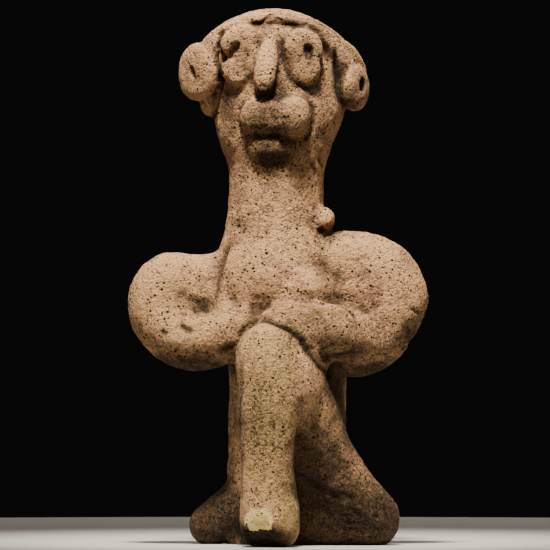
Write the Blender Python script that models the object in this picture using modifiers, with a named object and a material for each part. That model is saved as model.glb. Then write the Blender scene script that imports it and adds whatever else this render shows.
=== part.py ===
"""Kneeling terracotta figure, built by hand from rolls, pellets and strips of clay and fired in one piece.

It kneels on its left knee, with that calf folded across behind it, and holds its right knee up in front. Both
arms are thick rolls that loop out from the shoulders and come back to rest on the belly. The head widens from
a thick neck to a cap that runs from ear to ear; the eyes and the ears are pierced pellets.

Units are metres, +Z is up and the figure looks along -Y. Its origin is the middle of its box, on the ground.
The sizes in the tables are in millimetres, with the ground at z = 0 and the neck's axis at x = y = 0, until
set_down makes the figure HEIGHT tall and centres it. Right and left are the figure's own: its right is at -X.
"""

import math
from typing import NamedTuple

import bmesh
import bpy
from mathutils import Matrix, Vector

NAME = "kneeling_figure"
HEIGHT = 0.250

ROLL_SIDES = 24
LOFT_SIDES = 48
PELLET_SIDES = 36
PELLET_RINGS = 18
STEPS_BETWEEN = 6
BODY_VOXEL = 1.4
BODY_SOFTENING = 22
DETAIL_VOXEL = 0.9
DETAIL_SOFTENING = 5
MODEL_TRIANGLES = 9600
GROUND_TOLERANCE = 0.3
WELD_TOLERANCE = 1e-4

CLAY_COLOUR = (0.40, 0.27, 0.16, 1.0)
CLAY_ROUGHNESS = 0.88


class Section(NamedTuple):
    """A level oval slice of the trunk or head: its middle, and half its width and depth."""

    z: float
    x: float
    y: float
    wide: float
    deep: float


class Station(NamedTuple):
    """A point that a roll of clay runs through, and the roll's radius there."""

    x: float
    y: float
    z: float
    radius: float


class Block(NamedTuple):
    """A square-edged block: its middle, three half sizes, and its turn in degrees."""

    centre: tuple
    half: tuple
    turn: tuple = (0.0, 0.0, 0.0)


class Pellet(NamedTuple):
    """A ball of clay pressed to an oval: its middle, three half sizes, and its turn in degrees.

    At a press of 1 it is an ellipsoid. Below 1 its two faces across its own Y axis are flatter.
    """

    centre: tuple
    half: tuple
    turn: tuple = (0.0, 0.0, 0.0)
    press: float = 1.0


TRUNK = (
    Section(-6, 4, 6, 26, 20),
    Section(30, 4, 5, 27, 21),
    Section(58, 4.3, 3, 27.2, 22),
    Section(76, 4.7, 2, 27.3, 22.5),
    Section(96, 2, 1, 27.6, 23.5),
    Section(115, -0.5, 0, 30, 24.5),
    Section(130, -0.5, 0, 28.5, 24),
    Section(142, -0.8, 0.5, 25.4, 22),
    Section(152, -0.8, 1, 22.8, 20.5),
    Section(166, -0.7, 1, 22, 20),
    Section(177, -0.5, 1, 23, 20.8),
    Section(188, -0.7, 1.5, 27, 22.5),
    Section(200, 0.6, 3, 30.6, 25.5),
    Section(213, 0.5, 4.5, 31, 26.5),
    Section(226, -1, 5, 30.5, 25.5),
    Section(236, -2, 5, 28, 22.5),
    Section(243, -2, 5, 21, 19),
)
FACE = Pellet((-1.5, -5, 211), (27, 17.2, 33))
BROW = Pellet((-3, -7, 237), (27, 12.2, 9.5))

RAISED_SHIN = (
    Station(-3.4, -50.4, 10.5, 14.1),
    Station(-3.7, -49.5, 18, 13.6),
    Station(-4.4, -48, 32, 12.6),
    Station(-4.6, -47, 48, 12.6),
    Station(-4.4, -46, 62, 14.4),
    Station(-4.4, -44, 78, 14.8),
    Station(-5.2, -40.5, 88.6, 14.2),
)
RAISED_THIGH = (
    Station(-5, -40, 85.5, 15),
    Station(-2, -30, 84, 17.5),
    Station(2, -14, 80, 20),
)
KNEELING_THIGH = (
    Station(2, -34, 82, 15.4),
    Station(7.8, -31, 72.5, 15.4),
    Station(13.2, -26.5, 60, 15),
    Station(18.8, -21.5, 46, 14.8),
    Station(27.5, -16.5, 29, 15.6),
    Station(42.4, -12, 12, 14.7),
)
FOLDED_CALF = (
    Station(42.2, -11, 12, 14.2),
    Station(28, -11, 14, 15.5),
    Station(12, -7, 14.5, 16.5),
    Station(-4, 2, 16, 16.5),
    Station(-16, 8, 16, 14.5),
    Station(-24.5, 8.5, 13, 12),
    Station(-31.8, 8, 9, 10.3),
)
KNEE_WEB = Pellet((5.6, -37, 77), (14, 16.4, 20), (0, -22, 0))
FLANK = Pellet((20, -12, 64), (11, 15, 22), (0, -16, 0))
SEAT = Pellet((4, 9, 34), (28, 21, 34))

LEFT_ARM = (
    Station(10, 0, 123, 14),
    Station(27, -1, 128.6, 16.8),
    Station(37.3, -2, 129.2, 17),
    Station(48, -3.5, 125.2, 17.2),
    Station(53.2, -5.5, 113.8, 17),
    Station(48.6, -8, 102.2, 16.2),
    Station(40, -10.5, 95.6, 16.8),
    Station(28, -13, 94, 15.2),
    Station(17, -14, 96, 12),
)
RIGHT_ARM = (
    Station(-10, 0, 124, 12.5),
    Station(-26, -1, 123.2, 13.2),
    Station(-38, -2.5, 121.6, 13.9),
    Station(-51, -4.5, 120.6, 15.4),
    Station(-55.4, -6, 112.3, 15),
    Station(-51.4, -8, 102.4, 15),
    Station(-44, -10.5, 96.8, 14.8),
    Station(-34, -13, 95.4, 14.4),
    Station(-23, -16, 98.4, 13.4),
    Station(-14, -18, 102, 11.5),
)
LEFT_ELBOW_WEB = Pellet((38, -5, 112.5), (23, 17.4, 21))
RIGHT_ELBOW_WEB = Pellet((-42, -6, 110), (18, 13.4, 16))
CHEST = Pellet((-4, -10.5, 122), (23, 17, 24))
MIDRIFF = Pellet((10, -13, 118), (18, 16.5, 13))
BELLY_ROLL = (
    Station(-25, -11, 122, 7.5),
    Station(-26, -15, 111, 8.5),
    Station(-22, -19, 101, 9),
)
LEFT_HAND = (
    Station(37, -18, 95.5, 13),
    Station(26, -25.5, 98.4, 13.2),
    Station(14.5, -31, 100.6, 12),
    Station(4, -31, 105.6, 8.6),
)
LEFT_PALM = (
    Station(-3, -32, 103.5, 6.5),
    Station(6, -33.5, 98, 7.5),
    Station(12.5, -34, 91, 8.5),
    Station(16.5, -31, 85.5, 8),
)

CAP = Pellet((-1.8, 4.5, 217.3), (39, 35, 33), (0, 3, 0))
CAP_RIM = (
    Station(-37, 5, 220, 4),
    Station(-33.2, -4.5, 232, 3.4),
    Station(-25, -10.6, 239.4, 3),
    Station(-15, -14.4, 243.4, 2.8),
    Station(-3, -15.8, 244.9, 2.8),
    Station(8, -14.8, 244.2, 2.8),
    Station(17.6, -12.2, 241, 3),
    Station(26.4, -8, 234.6, 3.2),
    Station(33, -3, 229.4, 3.8),
    Station(37.4, 5, 221, 4.2),
)
LEFT_BAND = (
    Station(12, -10.5, 240.5, 4.5),
    Station(22, -7, 235.5, 6),
    Station(29, -2.5, 227, 7),
    Station(31.5, 1, 218, 7),
    Station(30.5, 3.5, 209, 5.5),
)
RIGHT_BAND = (
    Station(-14, -11.5, 240.5, 4.5),
    Station(-24, -8, 236, 6),
    Station(-30.5, -3.5, 228, 6.5),
    Station(-31.5, 1, 216, 6.5),
    Station(-30.8, 4, 205, 5.5),
)
RIGHT_EAR = Pellet((-36.6, -3, 220.4), (13.6, 5, 13.8), (0, -8, -52), 0.7)
LEFT_EAR = Pellet((35.9, -3, 213), (10.6, 4, 11), (0, 8, 58), 0.7)
RIGHT_EYE = Pellet((-17.6, -16.8, 234.2), (9.8, 4.8, 7.2), (0, -28, 0), 0.7)
RIGHT_EYE_BAG = Pellet((-18.8, -16.2, 221.8), (7.4, 4.6, 8.8), (0, 10, 0), 0.7)
RIGHT_EYE_RIM = (
    Station(-24.6, -14.4, 230, 2.4),
    Station(-25.2, -15.6, 224.5, 2.6),
    Station(-23.2, -17.4, 218.6, 2.6),
    Station(-18.6, -18.8, 216.2, 2.7),
    Station(-14, -19, 219, 2.7),
    Station(-12.2, -19, 224, 2.7),
    Station(-11.4, -18.4, 230, 2.4),
)
LEFT_EYE = Pellet((11.4, -17.4, 230.2), (9.6, 4.7, 10.4), (0, -6, 0), 0.65)
LEFT_EYE_BAG = Pellet((12.6, -18, 221.2), (7.4, 4.6, 8.6), (0, 0, 0), 0.65)
NOSE = (
    Station(-5, -14.8, 240.5, 2.4),
    Station(-4.4, -17, 234, 3.8),
    Station(-4.6, -19.8, 228, 4.8),
    Station(-5.4, -22.6, 221.5, 5.5),
    Station(-6.2, -24.2, 216, 5),
    Station(-6.7, -24.6, 212, 3.6),
)
LIPS = Pellet((-3, -16.4, 197), (12, 11, 8), (0, 4, 0), 0.85)
LEFT_LIP_SWELL = Pellet((6.4, -18.8, 198.8), (9, 11.2, 10.9), (0, 8, 0), 0.8)
RIGHT_LIP_SWELL = Pellet((-11.2, -15.6, 199.2), (6.8, 10.4, 9.4), (0, 8, 0), 0.85)
CHIN = Pellet((-3.4, -15.4, 185), (10.8, 9.4, 8.8), (-4, 0, 0), 0.95)
NECK_PELLET = Pellet((20.2, -6.6, 150.8), (6.6, 6.8, 7), (0, 20, 0))

PUNCHED_HOLES = (
    Pellet((-42.2, -8.4, 220), (2.6, 4.8, 4.6), (0, -24, -52)),
    Pellet((40.8, -5, 214.4), (2.8, 4.4, 3.9), (0, 14, 58)),
    Pellet((-19.8, -22.4, 230.4), (2.6, 3.4, 4.2), (0, 32, 0)),
    Pellet((14.3, -23, 228.4), (3, 3.4, 4.6), (0, -6, 0)),
    Pellet((20.4, -13, 145.8), (2.3, 2.8, 2)),
)
BROKEN_FOOT = Block((-10.1, -59.5, -7.4), (24, 24, 12), (-27.4, 22.5, 0))


def turned(degrees):
    """The rotation that these turns about X, then Y, then Z make, as a 4 x 4 matrix."""
    matrix = Matrix.Identity(4)
    for axis, angle in zip("XYZ", degrees):
        matrix = Matrix.Rotation(math.radians(angle), 4, axis) @ matrix
    return matrix


def placed(shape):
    """The matrix that turns a unit shape into a pellet or a block."""
    return Matrix.Translation(shape.centre) @ turned(shape.turn) @ Matrix.Diagonal((*shape.half, 1))


def flowing(keys):
    """Catmull-Rom points through the keys, each a tuple of numbers, STEPS_BETWEEN of them to a stretch."""
    rows = [tuple(keys[0]), *map(tuple, keys), tuple(keys[-1])]
    points = []
    for before, start, end, after in zip(rows, rows[1:], rows[2:], rows[3:]):
        for step in range(STEPS_BETWEEN):
            t = step / STEPS_BETWEEN
            weights = (
                (-t + 2 * t**2 - t**3) / 2,
                (2 - 5 * t**2 + 3 * t**3) / 2,
                (t + 4 * t**2 - 3 * t**3) / 2,
                (-(t**2) + t**3) / 2,
            )
            columns = zip(before, start, end, after)
            points.append(tuple(sum(w * v for w, v in zip(weights, column)) for column in columns))
    return [*points, tuple(keys[-1])]


def add_loft(bm, sections):
    """Adds a closed skin over level oval sections."""
    below = None
    for z, x, y, wide, deep in flowing(sections):
        place = Matrix.Translation((x, y, z)) @ Matrix.Diagonal((wide, deep, 1, 1))
        ring = bmesh.ops.create_circle(bm, segments=LOFT_SIDES, radius=1, matrix=place)["verts"]
        edges = list({edge for vert in ring for edge in vert.link_edges})
        if below is None:
            bmesh.ops.contextual_create(bm, geom=edges)
        else:
            bmesh.ops.bridge_loops(bm, edges=below + edges)
        below = edges
    bmesh.ops.contextual_create(bm, geom=below)


def add_pellet(bm, pellet):
    """Adds a pellet."""
    verts = bmesh.ops.create_uvsphere(bm, u_segments=PELLET_SIDES, v_segments=PELLET_RINGS, radius=1)["verts"]
    for vert in verts:
        around = Vector((vert.co.x, 0, vert.co.z))
        reach = around.length
        if 1e-6 < reach < 1 - 1e-6:
            around *= reach ** (pellet.press - 1)
        across = math.copysign(abs(vert.co.y) ** pellet.press, vert.co.y)
        vert.co = around + Vector((0, across, 0))
    bmesh.ops.transform(bm, matrix=placed(pellet), verts=verts)


def add_roll(bm, stations):
    """Adds a roll of clay through the stations, with round ends."""
    curve = bpy.data.curves.new("roll", "CURVE")
    curve.dimensions = "3D"
    curve.bevel_depth = 1.0
    curve.bevel_resolution = ROLL_SIDES // 4
    curve.use_fill_caps = True
    points = flowing(stations)
    spline = curve.splines.new("POLY")
    spline.points.add(len(points) - 1)
    for point, (x, y, z, radius) in zip(spline.points, points):
        point.co = (x, y, z, 1)
        point.radius = radius
    holder = bpy.data.objects.new("roll", curve)
    bpy.context.scene.collection.objects.link(holder)
    tube = evaluated_mesh(holder)
    bm.from_mesh(tube)
    bpy.data.objects.remove(holder)
    bpy.data.curves.remove(curve)
    bpy.data.meshes.remove(tube)
    for end in (stations[0], stations[-1]):
        add_pellet(bm, Pellet(end[:3], (end.radius,) * 3))


def add_cap(bm):
    """Adds the cap: a dome whose front is cut away behind its rolled rim."""
    dome = bmesh.new()
    add_pellet(dome, CAP)
    brow = Vector(max(CAP_RIM, key=lambda station: station.z)[:3])
    temple = Vector(CAP_RIM[0][:3])
    slope = Vector((0, temple.y - brow.y, temple.z - brow.z))
    everything = [*dome.verts, *dome.edges, *dome.faces]
    facing = Vector((0, slope.z, -slope.y))
    bmesh.ops.bisect_plane(dome, geom=everything, plane_co=brow, plane_no=facing, clear_outer=True)
    bmesh.ops.holes_fill(dome, edges=[edge for edge in dome.edges if edge.is_boundary])
    mesh = bpy.data.meshes.new("cap")
    dome.to_mesh(mesh)
    dome.free()
    bm.from_mesh(mesh)
    bpy.data.meshes.remove(mesh)
    add_roll(bm, CAP_RIM)


def add_body(bm):
    """Adds the trunk, the neck and head in one, the legs and the arms."""
    add_loft(bm, TRUNK)
    for leg in (RAISED_SHIN, RAISED_THIGH, KNEELING_THIGH, FOLDED_CALF):
        add_roll(bm, leg)
    for arm in (LEFT_ARM, RIGHT_ARM, LEFT_HAND, LEFT_PALM, BELLY_ROLL):
        add_roll(bm, arm)
    for swell in (FACE, BROW, CHEST, MIDRIFF, SEAT, KNEE_WEB, FLANK, LEFT_ELBOW_WEB, RIGHT_ELBOW_WEB):
        add_pellet(bm, swell)


def add_features(bm):
    """Adds what was pressed on to the body: cap, nose, mouth, eyes, ears and a pellet at the neck."""
    add_cap(bm)
    for roll in (NOSE, LEFT_BAND, RIGHT_BAND, RIGHT_EYE_RIM):
        add_roll(bm, roll)
    for pellet in (RIGHT_EAR, LEFT_EAR, RIGHT_EYE, RIGHT_EYE_BAG, LEFT_EYE, LEFT_EYE_BAG, NECK_PELLET):
        add_pellet(bm, pellet)
    for pellet in (LIPS, LEFT_LIP_SWELL, RIGHT_LIP_SWELL, CHIN):
        add_pellet(bm, pellet)


def add_cuts(bm):
    """Adds what is taken away: the holes punched with a stick, and the foot that broke off the raised leg."""
    for hole in PUNCHED_HOLES:
        add_pellet(bm, hole)
    bmesh.ops.create_cube(bm, size=2, matrix=placed(BROKEN_FOOT))


def evaluated_mesh(obj):
    """A new mesh of the object as its modifiers leave it."""
    bpy.context.view_layer.update()
    return bpy.data.meshes.new_from_object(obj.evaluated_get(bpy.context.evaluated_depsgraph_get()))


def object_from(bm, name, collection):
    """Makes the bmesh an object of the collection."""
    bmesh.ops.remove_doubles(bm, verts=bm.verts, dist=WELD_TOLERANCE)
    bmesh.ops.recalc_face_normals(bm, faces=bm.faces)
    mesh = bpy.data.meshes.new(name)
    bm.to_mesh(mesh)
    bm.free()
    obj = bpy.data.objects.new(name, mesh)
    collection.objects.link(obj)
    return obj


def apply_modifiers(obj):
    """Makes the object's modifiers part of its mesh."""
    mesh = evaluated_mesh(obj)
    obj.modifiers.clear()
    old, obj.data = obj.data, mesh
    bpy.data.meshes.remove(old)


def fuse(obj, voxel, softening=0):
    """Works the object's overlapping shells into one skin and softens the seams."""
    remesh = obj.modifiers.new("fuse", "REMESH")
    remesh.mode = "VOXEL"
    remesh.voxel_size = voxel
    soften = obj.modifiers.new("soften", "SMOOTH")
    soften.factor = 0.5
    soften.iterations = softening
    apply_modifiers(obj)


def cut(obj, cutter):
    """Takes the cutter away from the object."""
    boolean = obj.modifiers.new("cut", "BOOLEAN")
    boolean.operation = "DIFFERENCE"
    boolean.object = cutter
    apply_modifiers(obj)


def flatten_underside(obj):
    """Cuts the object off level with the ground."""
    bm = bmesh.new()
    bm.from_mesh(obj.data)
    everything = [*bm.verts, *bm.edges, *bm.faces]
    bmesh.ops.bisect_plane(bm, geom=everything, plane_co=(0, 0, 0), plane_no=(0, 0, 1), clear_inner=True)
    bmesh.ops.holes_fill(bm, edges=[edge for edge in bm.edges if edge.is_boundary])
    bmesh.ops.triangulate(bm, faces=bm.faces)
    bm.to_mesh(obj.data)
    bm.free()


def coarsen(obj, triangles):
    """Thins the object's mesh to about this many triangles."""
    decimate = obj.modifiers.new("coarsen", "DECIMATE")
    decimate.ratio = triangles / len(obj.data.polygons)
    apply_modifiers(obj)


def set_down(obj):
    """Stands the object on the ground at its real size, with the middle of its box over the origin."""
    for vert in obj.data.vertices:
        if abs(vert.co.z) < GROUND_TOLERANCE:
            vert.co.z = 0.0
    corners = [Vector(corner) for corner in obj.bound_box]
    middle = sum(corners, Vector()) / len(corners)
    scale = HEIGHT / max(corner.z for corner in corners)
    obj.data.transform(Matrix.Scale(scale, 4) @ Matrix.Translation((-middle.x, -middle.y, 0)))


def clay():
    """Fired clay, pinkish tan and dull."""
    material = bpy.data.materials.new("terracotta")
    material.use_nodes = True
    shader = material.node_tree.nodes["Principled BSDF"]
    shader.inputs["Base Color"].default_value = CLAY_COLOUR
    shader.inputs["Roughness"].default_value = CLAY_ROUGHNESS
    shader.inputs["Metallic"].default_value = 0.0
    return material


def new_collection(name):
    """An empty collection in the scene."""
    collection = bpy.data.collections.new(name)
    bpy.context.scene.collection.children.link(collection)
    return collection


def build_figure(parts, cutters):
    """The figure as one skin, still in millimetres."""
    bm = bmesh.new()
    add_body(bm)
    body = object_from(bm, "body", parts)
    fuse(body, BODY_VOXEL, BODY_SOFTENING)

    bm = bmesh.new()
    bm.from_mesh(body.data)
    bpy.data.objects.remove(body)
    add_features(bm)
    figure = object_from(bm, NAME, parts)
    fuse(figure, DETAIL_VOXEL)

    bm = bmesh.new()
    add_cuts(bm)
    cuts = object_from(bm, "cuts", cutters)
    cuts.hide_render = True
    cuts.display_type = "WIRE"
    cut(figure, cuts)
    fuse(figure, DETAIL_VOXEL, DETAIL_SOFTENING)
    bpy.data.objects.remove(cuts)
    return figure


def main():
    """Clears the scene and builds the figure in it."""
    for obj in list(bpy.data.objects):
        bpy.data.objects.remove(obj)
    figure = build_figure(new_collection(NAME), new_collection("cutters"))
    flatten_underside(figure)
    coarsen(figure, MODEL_TRIANGLES)
    set_down(figure)
    figure.data.materials.append(clay())
    figure.data.shade_smooth()


main()
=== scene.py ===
"""The looks of the kneeling terracotta figure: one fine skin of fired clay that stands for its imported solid.

The figure is worked up the way its maker did it. Rolls, pellets and a loft of clay are pressed into one body,
the eyes, ears, nose, mouth and cap are pressed on to that, holes are punched, and then age adds its cracks,
chips, pits and dirt. Sizes are millimetres in the maker's own frame: the ground is z = 0, the neck's axis is
x = y = 0, +Z is up and the figure looks along -Y. Placement turns them into the frame's metres. Right and
left are the figure's own, so its right is at -X.
"""

import logging
import math
from dataclasses import dataclass
from enum import Enum
from typing import Iterable, Sequence

import bmesh
import bpy
import numpy as np
from mathutils import Matrix, Quaternion, Vector
from mathutils.bvhtree import BVHTree
from mathutils.kdtree import KDTree


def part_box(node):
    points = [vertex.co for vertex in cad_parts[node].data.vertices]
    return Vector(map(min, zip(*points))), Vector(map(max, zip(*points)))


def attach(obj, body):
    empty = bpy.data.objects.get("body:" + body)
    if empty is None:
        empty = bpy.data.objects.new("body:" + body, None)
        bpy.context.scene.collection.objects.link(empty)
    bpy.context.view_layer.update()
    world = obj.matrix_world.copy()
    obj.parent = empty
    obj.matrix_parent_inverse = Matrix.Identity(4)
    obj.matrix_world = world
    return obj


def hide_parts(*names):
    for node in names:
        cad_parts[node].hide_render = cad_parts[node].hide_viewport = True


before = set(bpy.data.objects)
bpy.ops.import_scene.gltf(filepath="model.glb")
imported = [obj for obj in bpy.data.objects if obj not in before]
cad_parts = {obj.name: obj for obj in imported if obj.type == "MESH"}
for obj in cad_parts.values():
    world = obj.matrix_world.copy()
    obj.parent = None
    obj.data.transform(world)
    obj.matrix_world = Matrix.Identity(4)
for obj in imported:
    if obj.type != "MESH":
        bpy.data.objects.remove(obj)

log = logging.getLogger("kneeling_figure")

NODE = "kneeling_figure"
BODY = "root"

MM = 0.001
SEED = 7

# How finely the clay shapes are made, as counts of sides, rings and steps.
PELLET_SIDES = 48
PELLET_RINGS = 24
ROLL_SIDES = 32
LOFT_SIDES = 64
STEPS_BETWEEN = 6
MARK_STEPS = 12

# How near two places are before they count as one, and how far off a ray at the skin starts, in millimetres.
POLE_TOLERANCE = 1e-6
WELD_TOLERANCE = 1e-4
WELL_OUTSIDE = 400

# Large odd numbers that scramble a cell's place, and how far apart two readings of the noise are taken.
CELL_PRIMES = (73856093, 19349663, 83492791)
SEED_PRIME = 2654435761
MIX_PRIME = 1274126177
OCTAVE_SHIFT = 31.7
LUMP_SHIFT = 17.3
STRAY_SHIFTS = (0, 50, 100)

# How many rounds of evening out each quantity gets before it is used.
MARK_ROUNDS = 3
LUMP_ROUNDS = 2
CREVICE_ROUNDS = 1
OCCLUSION_ROUNDS = 4

Triple = tuple[float, float, float]
Pair = tuple[float, float]


# --------------------------------------------------------------------------------------------------
# Clay shapes
# --------------------------------------------------------------------------------------------------


def turned(degrees: Triple) -> Matrix:
    """The rotation that turns about X, then Y, then Z make.

    Args:
        degrees: the three turns.

    Returns:
        A 4 x 4 rotation matrix.
    """
    matrix = Matrix.Identity(4)
    for axis, angle in zip("XYZ", degrees):
        matrix = Matrix.Rotation(math.radians(angle), 4, axis) @ matrix
    return matrix


def flowing(keys: Sequence[Sequence[float]], steps: int) -> np.ndarray:
    """Points on a Catmull-Rom curve through the keys.

    Args:
        keys: rows of numbers, which may be places, sizes or both.
        steps: how many points a stretch between two keys gets.

    Returns:
        One row for each point, from the first key to the last.
    """
    rows = np.array([keys[0], *keys, keys[-1]], float)
    points = []
    for before, start, end, after in zip(rows, rows[1:], rows[2:], rows[3:]):
        for t in np.arange(steps) / steps:
            points.append(
                before * (-t + 2 * t**2 - t**3) / 2
                + start * (2 - 5 * t**2 + 3 * t**3) / 2
                + end * (t + 4 * t**2 - 3 * t**3) / 2
                + after * (-(t**2) + t**3) / 2
            )
    return np.array([*points, rows[-1]])


def add_tube(bm: bmesh.types.BMesh, places: Iterable[Matrix], sides: int) -> None:
    """Adds a closed skin over a row of unit circles.

    Args:
        bm: where it goes.
        places: the matrix that turns a unit circle into each ring.
        sides: how many sides a ring has.
    """
    below = None
    for place in places:
        ring = bmesh.ops.create_circle(bm, segments=sides, radius=1, matrix=place)["verts"]
        edges = list({edge for vert in ring for edge in vert.link_edges})
        if below is None:
            bmesh.ops.contextual_create(bm, geom=edges)
        else:
            bmesh.ops.bridge_loops(bm, edges=below + edges)
        below = edges
    bmesh.ops.contextual_create(bm, geom=below)


@dataclass(frozen=True)
class Pellet:
    """A ball of clay pressed to an oval, or the tip of a stick pressed in along its own +Y.

    Attributes:
        centre: its middle.
        half: its three half sizes.
        turn: its turns about X, Y and Z in degrees.
        press: 1 for an ellipsoid, and less for flatter faces across its own Y axis.
    """

    centre: Triple
    half: Triple
    turn: Triple = (0.0, 0.0, 0.0)
    press: float = 1.0

    def matrix(self) -> Matrix:
        """The matrix that turns a unit ball into the pellet."""
        return Matrix.Translation(self.centre) @ turned(self.turn) @ Matrix.Diagonal((*self.half, 1))

    def add_to(self, bm: bmesh.types.BMesh) -> None:
        """Adds the pellet to the bmesh.

        Args:
            bm: the mesh that it goes into.
        """
        ball = bmesh.ops.create_uvsphere(bm, u_segments=PELLET_SIDES, v_segments=PELLET_RINGS, radius=1)
        verts = ball["verts"]
        for vert in verts:
            around = Vector((vert.co.x, 0, vert.co.z))
            reach = around.length
            if POLE_TOLERANCE < reach < 1 - POLE_TOLERANCE:
                around *= reach ** (self.press - 1)
            across = math.copysign(abs(vert.co.y) ** self.press, vert.co.y)
            vert.co = around + Vector((0, across, 0))
        bmesh.ops.transform(bm, matrix=self.matrix(), verts=verts)


@dataclass(frozen=True)
class Roll:
    """A roll of clay with round ends.

    Attributes:
        stations: rows of x, y, z and radius along it.
    """

    stations: tuple[tuple[float, float, float, float], ...]

    def add_to(self, bm: bmesh.types.BMesh) -> None:
        """Adds the roll to the bmesh.

        Args:
            bm: the mesh that it goes into.
        """
        points = flowing(self.stations, STEPS_BETWEEN)
        turn = Quaternion()
        facing = Vector((0, 0, 1))
        places = []
        for index, (x, y, z, radius) in enumerate(points):
            ahead = points[min(index + 1, len(points) - 1)][:3] - points[max(index - 1, 0)][:3]
            heading = Vector(ahead).normalized()
            turn = facing.rotation_difference(heading) @ turn
            facing = heading
            places.append(Matrix.Translation((x, y, z)) @ turn.to_matrix().to_4x4() @ Matrix.Scale(radius, 4))
        add_tube(bm, places, ROLL_SIDES)
        for *end, radius in (self.stations[0], self.stations[-1]):
            Pellet(tuple(end), (radius,) * 3).add_to(bm)


@dataclass(frozen=True)
class Loft:
    """A column of clay squeezed to level ovals.

    Attributes:
        sections: rows of z, x, y, half width and half depth, from the bottom up.
    """

    sections: tuple[tuple[float, float, float, float, float], ...]

    def add_to(self, bm: bmesh.types.BMesh) -> None:
        """Adds the column to the bmesh.

        Args:
            bm: the mesh that it goes into.
        """
        places = [
            Matrix.Translation((x, y, z)) @ Matrix.Diagonal((wide, deep, 1, 1))
            for z, x, y, wide, deep in flowing(self.sections, STEPS_BETWEEN)
        ]
        add_tube(bm, places, LOFT_SIDES)


@dataclass(frozen=True)
class Dome:
    """A pellet whose front is cut away on a slope.

    Attributes:
        ball: the whole pellet.
        brow: a place at the top of the cut.
        temple: a place at the foot of the cut.
    """

    ball: Pellet
    brow: Triple
    temple: Triple

    def add_to(self, bm: bmesh.types.BMesh) -> None:
        """Adds the dome to the bmesh.

        Args:
            bm: the mesh that it goes into.
        """
        self.ball.add_to(bm)
        slope = Vector(self.temple) - Vector(self.brow)
        everything = [*bm.verts, *bm.edges, *bm.faces]
        facing = Vector((0, slope.z, -slope.y))
        bmesh.ops.bisect_plane(bm, geom=everything, plane_co=self.brow, plane_no=facing, clear_outer=True)
        bmesh.ops.holes_fill(bm, edges=[edge for edge in bm.edges if edge.is_boundary])


Mass = Pellet | Roll | Loft | Dome


# --------------------------------------------------------------------------------------------------
# What hands, tools and age do to the skin
# --------------------------------------------------------------------------------------------------


class Side(Enum):
    """The side that a mark is made from, as the way the hand moves in."""

    FRONT = (0.0, 1.0, 0.0)
    BACK = (0.0, -1.0, 0.0)
    RIGHT = (1.0, 0.0, 0.0)
    LEFT = (-1.0, 0.0, 0.0)
    TOP = (0.0, 0.0, -1.0)

    def start(self, across: float, up: float) -> Vector:
        """A place well outside the figure that looks at its side.

        Args:
            across: x from the front, back or top, and y from the right or left.
            up: z, or y from the top.

        Returns:
            The place.
        """
        away = -WELL_OUTSIDE * Vector(self.value)
        if self in (Side.FRONT, Side.BACK):
            return away + Vector((across, 0, up))
        if self in (Side.RIGHT, Side.LEFT):
            return away + Vector((0, across, up))
        return away + Vector((across, up, 0))


class Profile(Enum):
    """The shape across a mark, as the power its edge falls off with."""

    ROUND = 2.0
    SHARP = 0.8
    CRACK = 0.45


@dataclass(frozen=True)
class Mark:
    """A line or hollow pressed, scratched or cracked into the skin, or pushed up where depth is below zero.

    Attributes:
        path: where it runs, as seen from its side.
        reach: how far it spreads to each side.
        depth: how deep it goes.
        profile: the shape across it.
        soil: how much dirt it holds, from 0 to 1.
        wander: how far it strays from its path.
        side: the side that it is made from.
        tapered: whether it runs out to nothing at its ends.
    """

    path: tuple[Pair, ...]
    reach: float
    depth: float
    profile: Profile = Profile.ROUND
    soil: float = 0.0
    wander: float = 0.0
    side: Side = Side.FRONT
    tapered: bool = True


@dataclass(frozen=True)
class Facet:
    """A flat place where clay was cut, or broke or chipped off.

    Attributes:
        centre: a place on it.
        out: the way it faces.
        reach: how far from its centre it works.
        rough: how uneven it is.
    """

    centre: Triple
    out: Triple
    reach: float
    rough: float = 0.0


class Tint(Enum):
    """A colour or texture that the clay takes in places, as the name of the attribute that holds it."""

    PINK = "pink"
    CREAM = "cream"
    OCHRE = "ochre"
    # brown soil stains, laid together with painted shade in recesses, between parts and under overhangs
    BROWN = "brown"
    SOOT = "soot"
    CHIP = "chip"
    PORES = "pores"
    ROUGH = "rough"


@dataclass(frozen=True)
class Patch:
    """A place where the clay has a tint.

    Attributes:
        tint: which tint.
        centre: its middle.
        half: its three half sizes.
        strength: how strong the tint is there, from 0 to 1.
    """

    tint: Tint
    centre: Triple
    half: Triple
    strength: float = 1.0


class SubAssembly:
    """A part of the figure, with what it is built of and what was done to it."""

    def masses(self) -> list[Mass]:
        """The clay that was worked into the body until its seams were gone."""
        return []

    def swellings(self) -> list[Mass]:
        """The clay that was pressed on and smeared over, whose seams are soft."""
        return []

    def features(self) -> list[Mass]:
        """The clay that was pressed on last, whose seams still show."""
        return []

    def facets(self) -> list[Facet]:
        """Where it is cut or broken flat."""
        return []

    def punches(self) -> list[Pellet]:
        """Where a stick was pushed in."""
        return []

    def marks(self) -> list[Mark]:
        """What was pressed, scratched or cracked into it."""
        return []

    def patches(self) -> list[Patch]:
        """Where its colour differs from the rest."""
        return []


# --------------------------------------------------------------------------------------------------
# Sub-assemblies
# --------------------------------------------------------------------------------------------------


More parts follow.
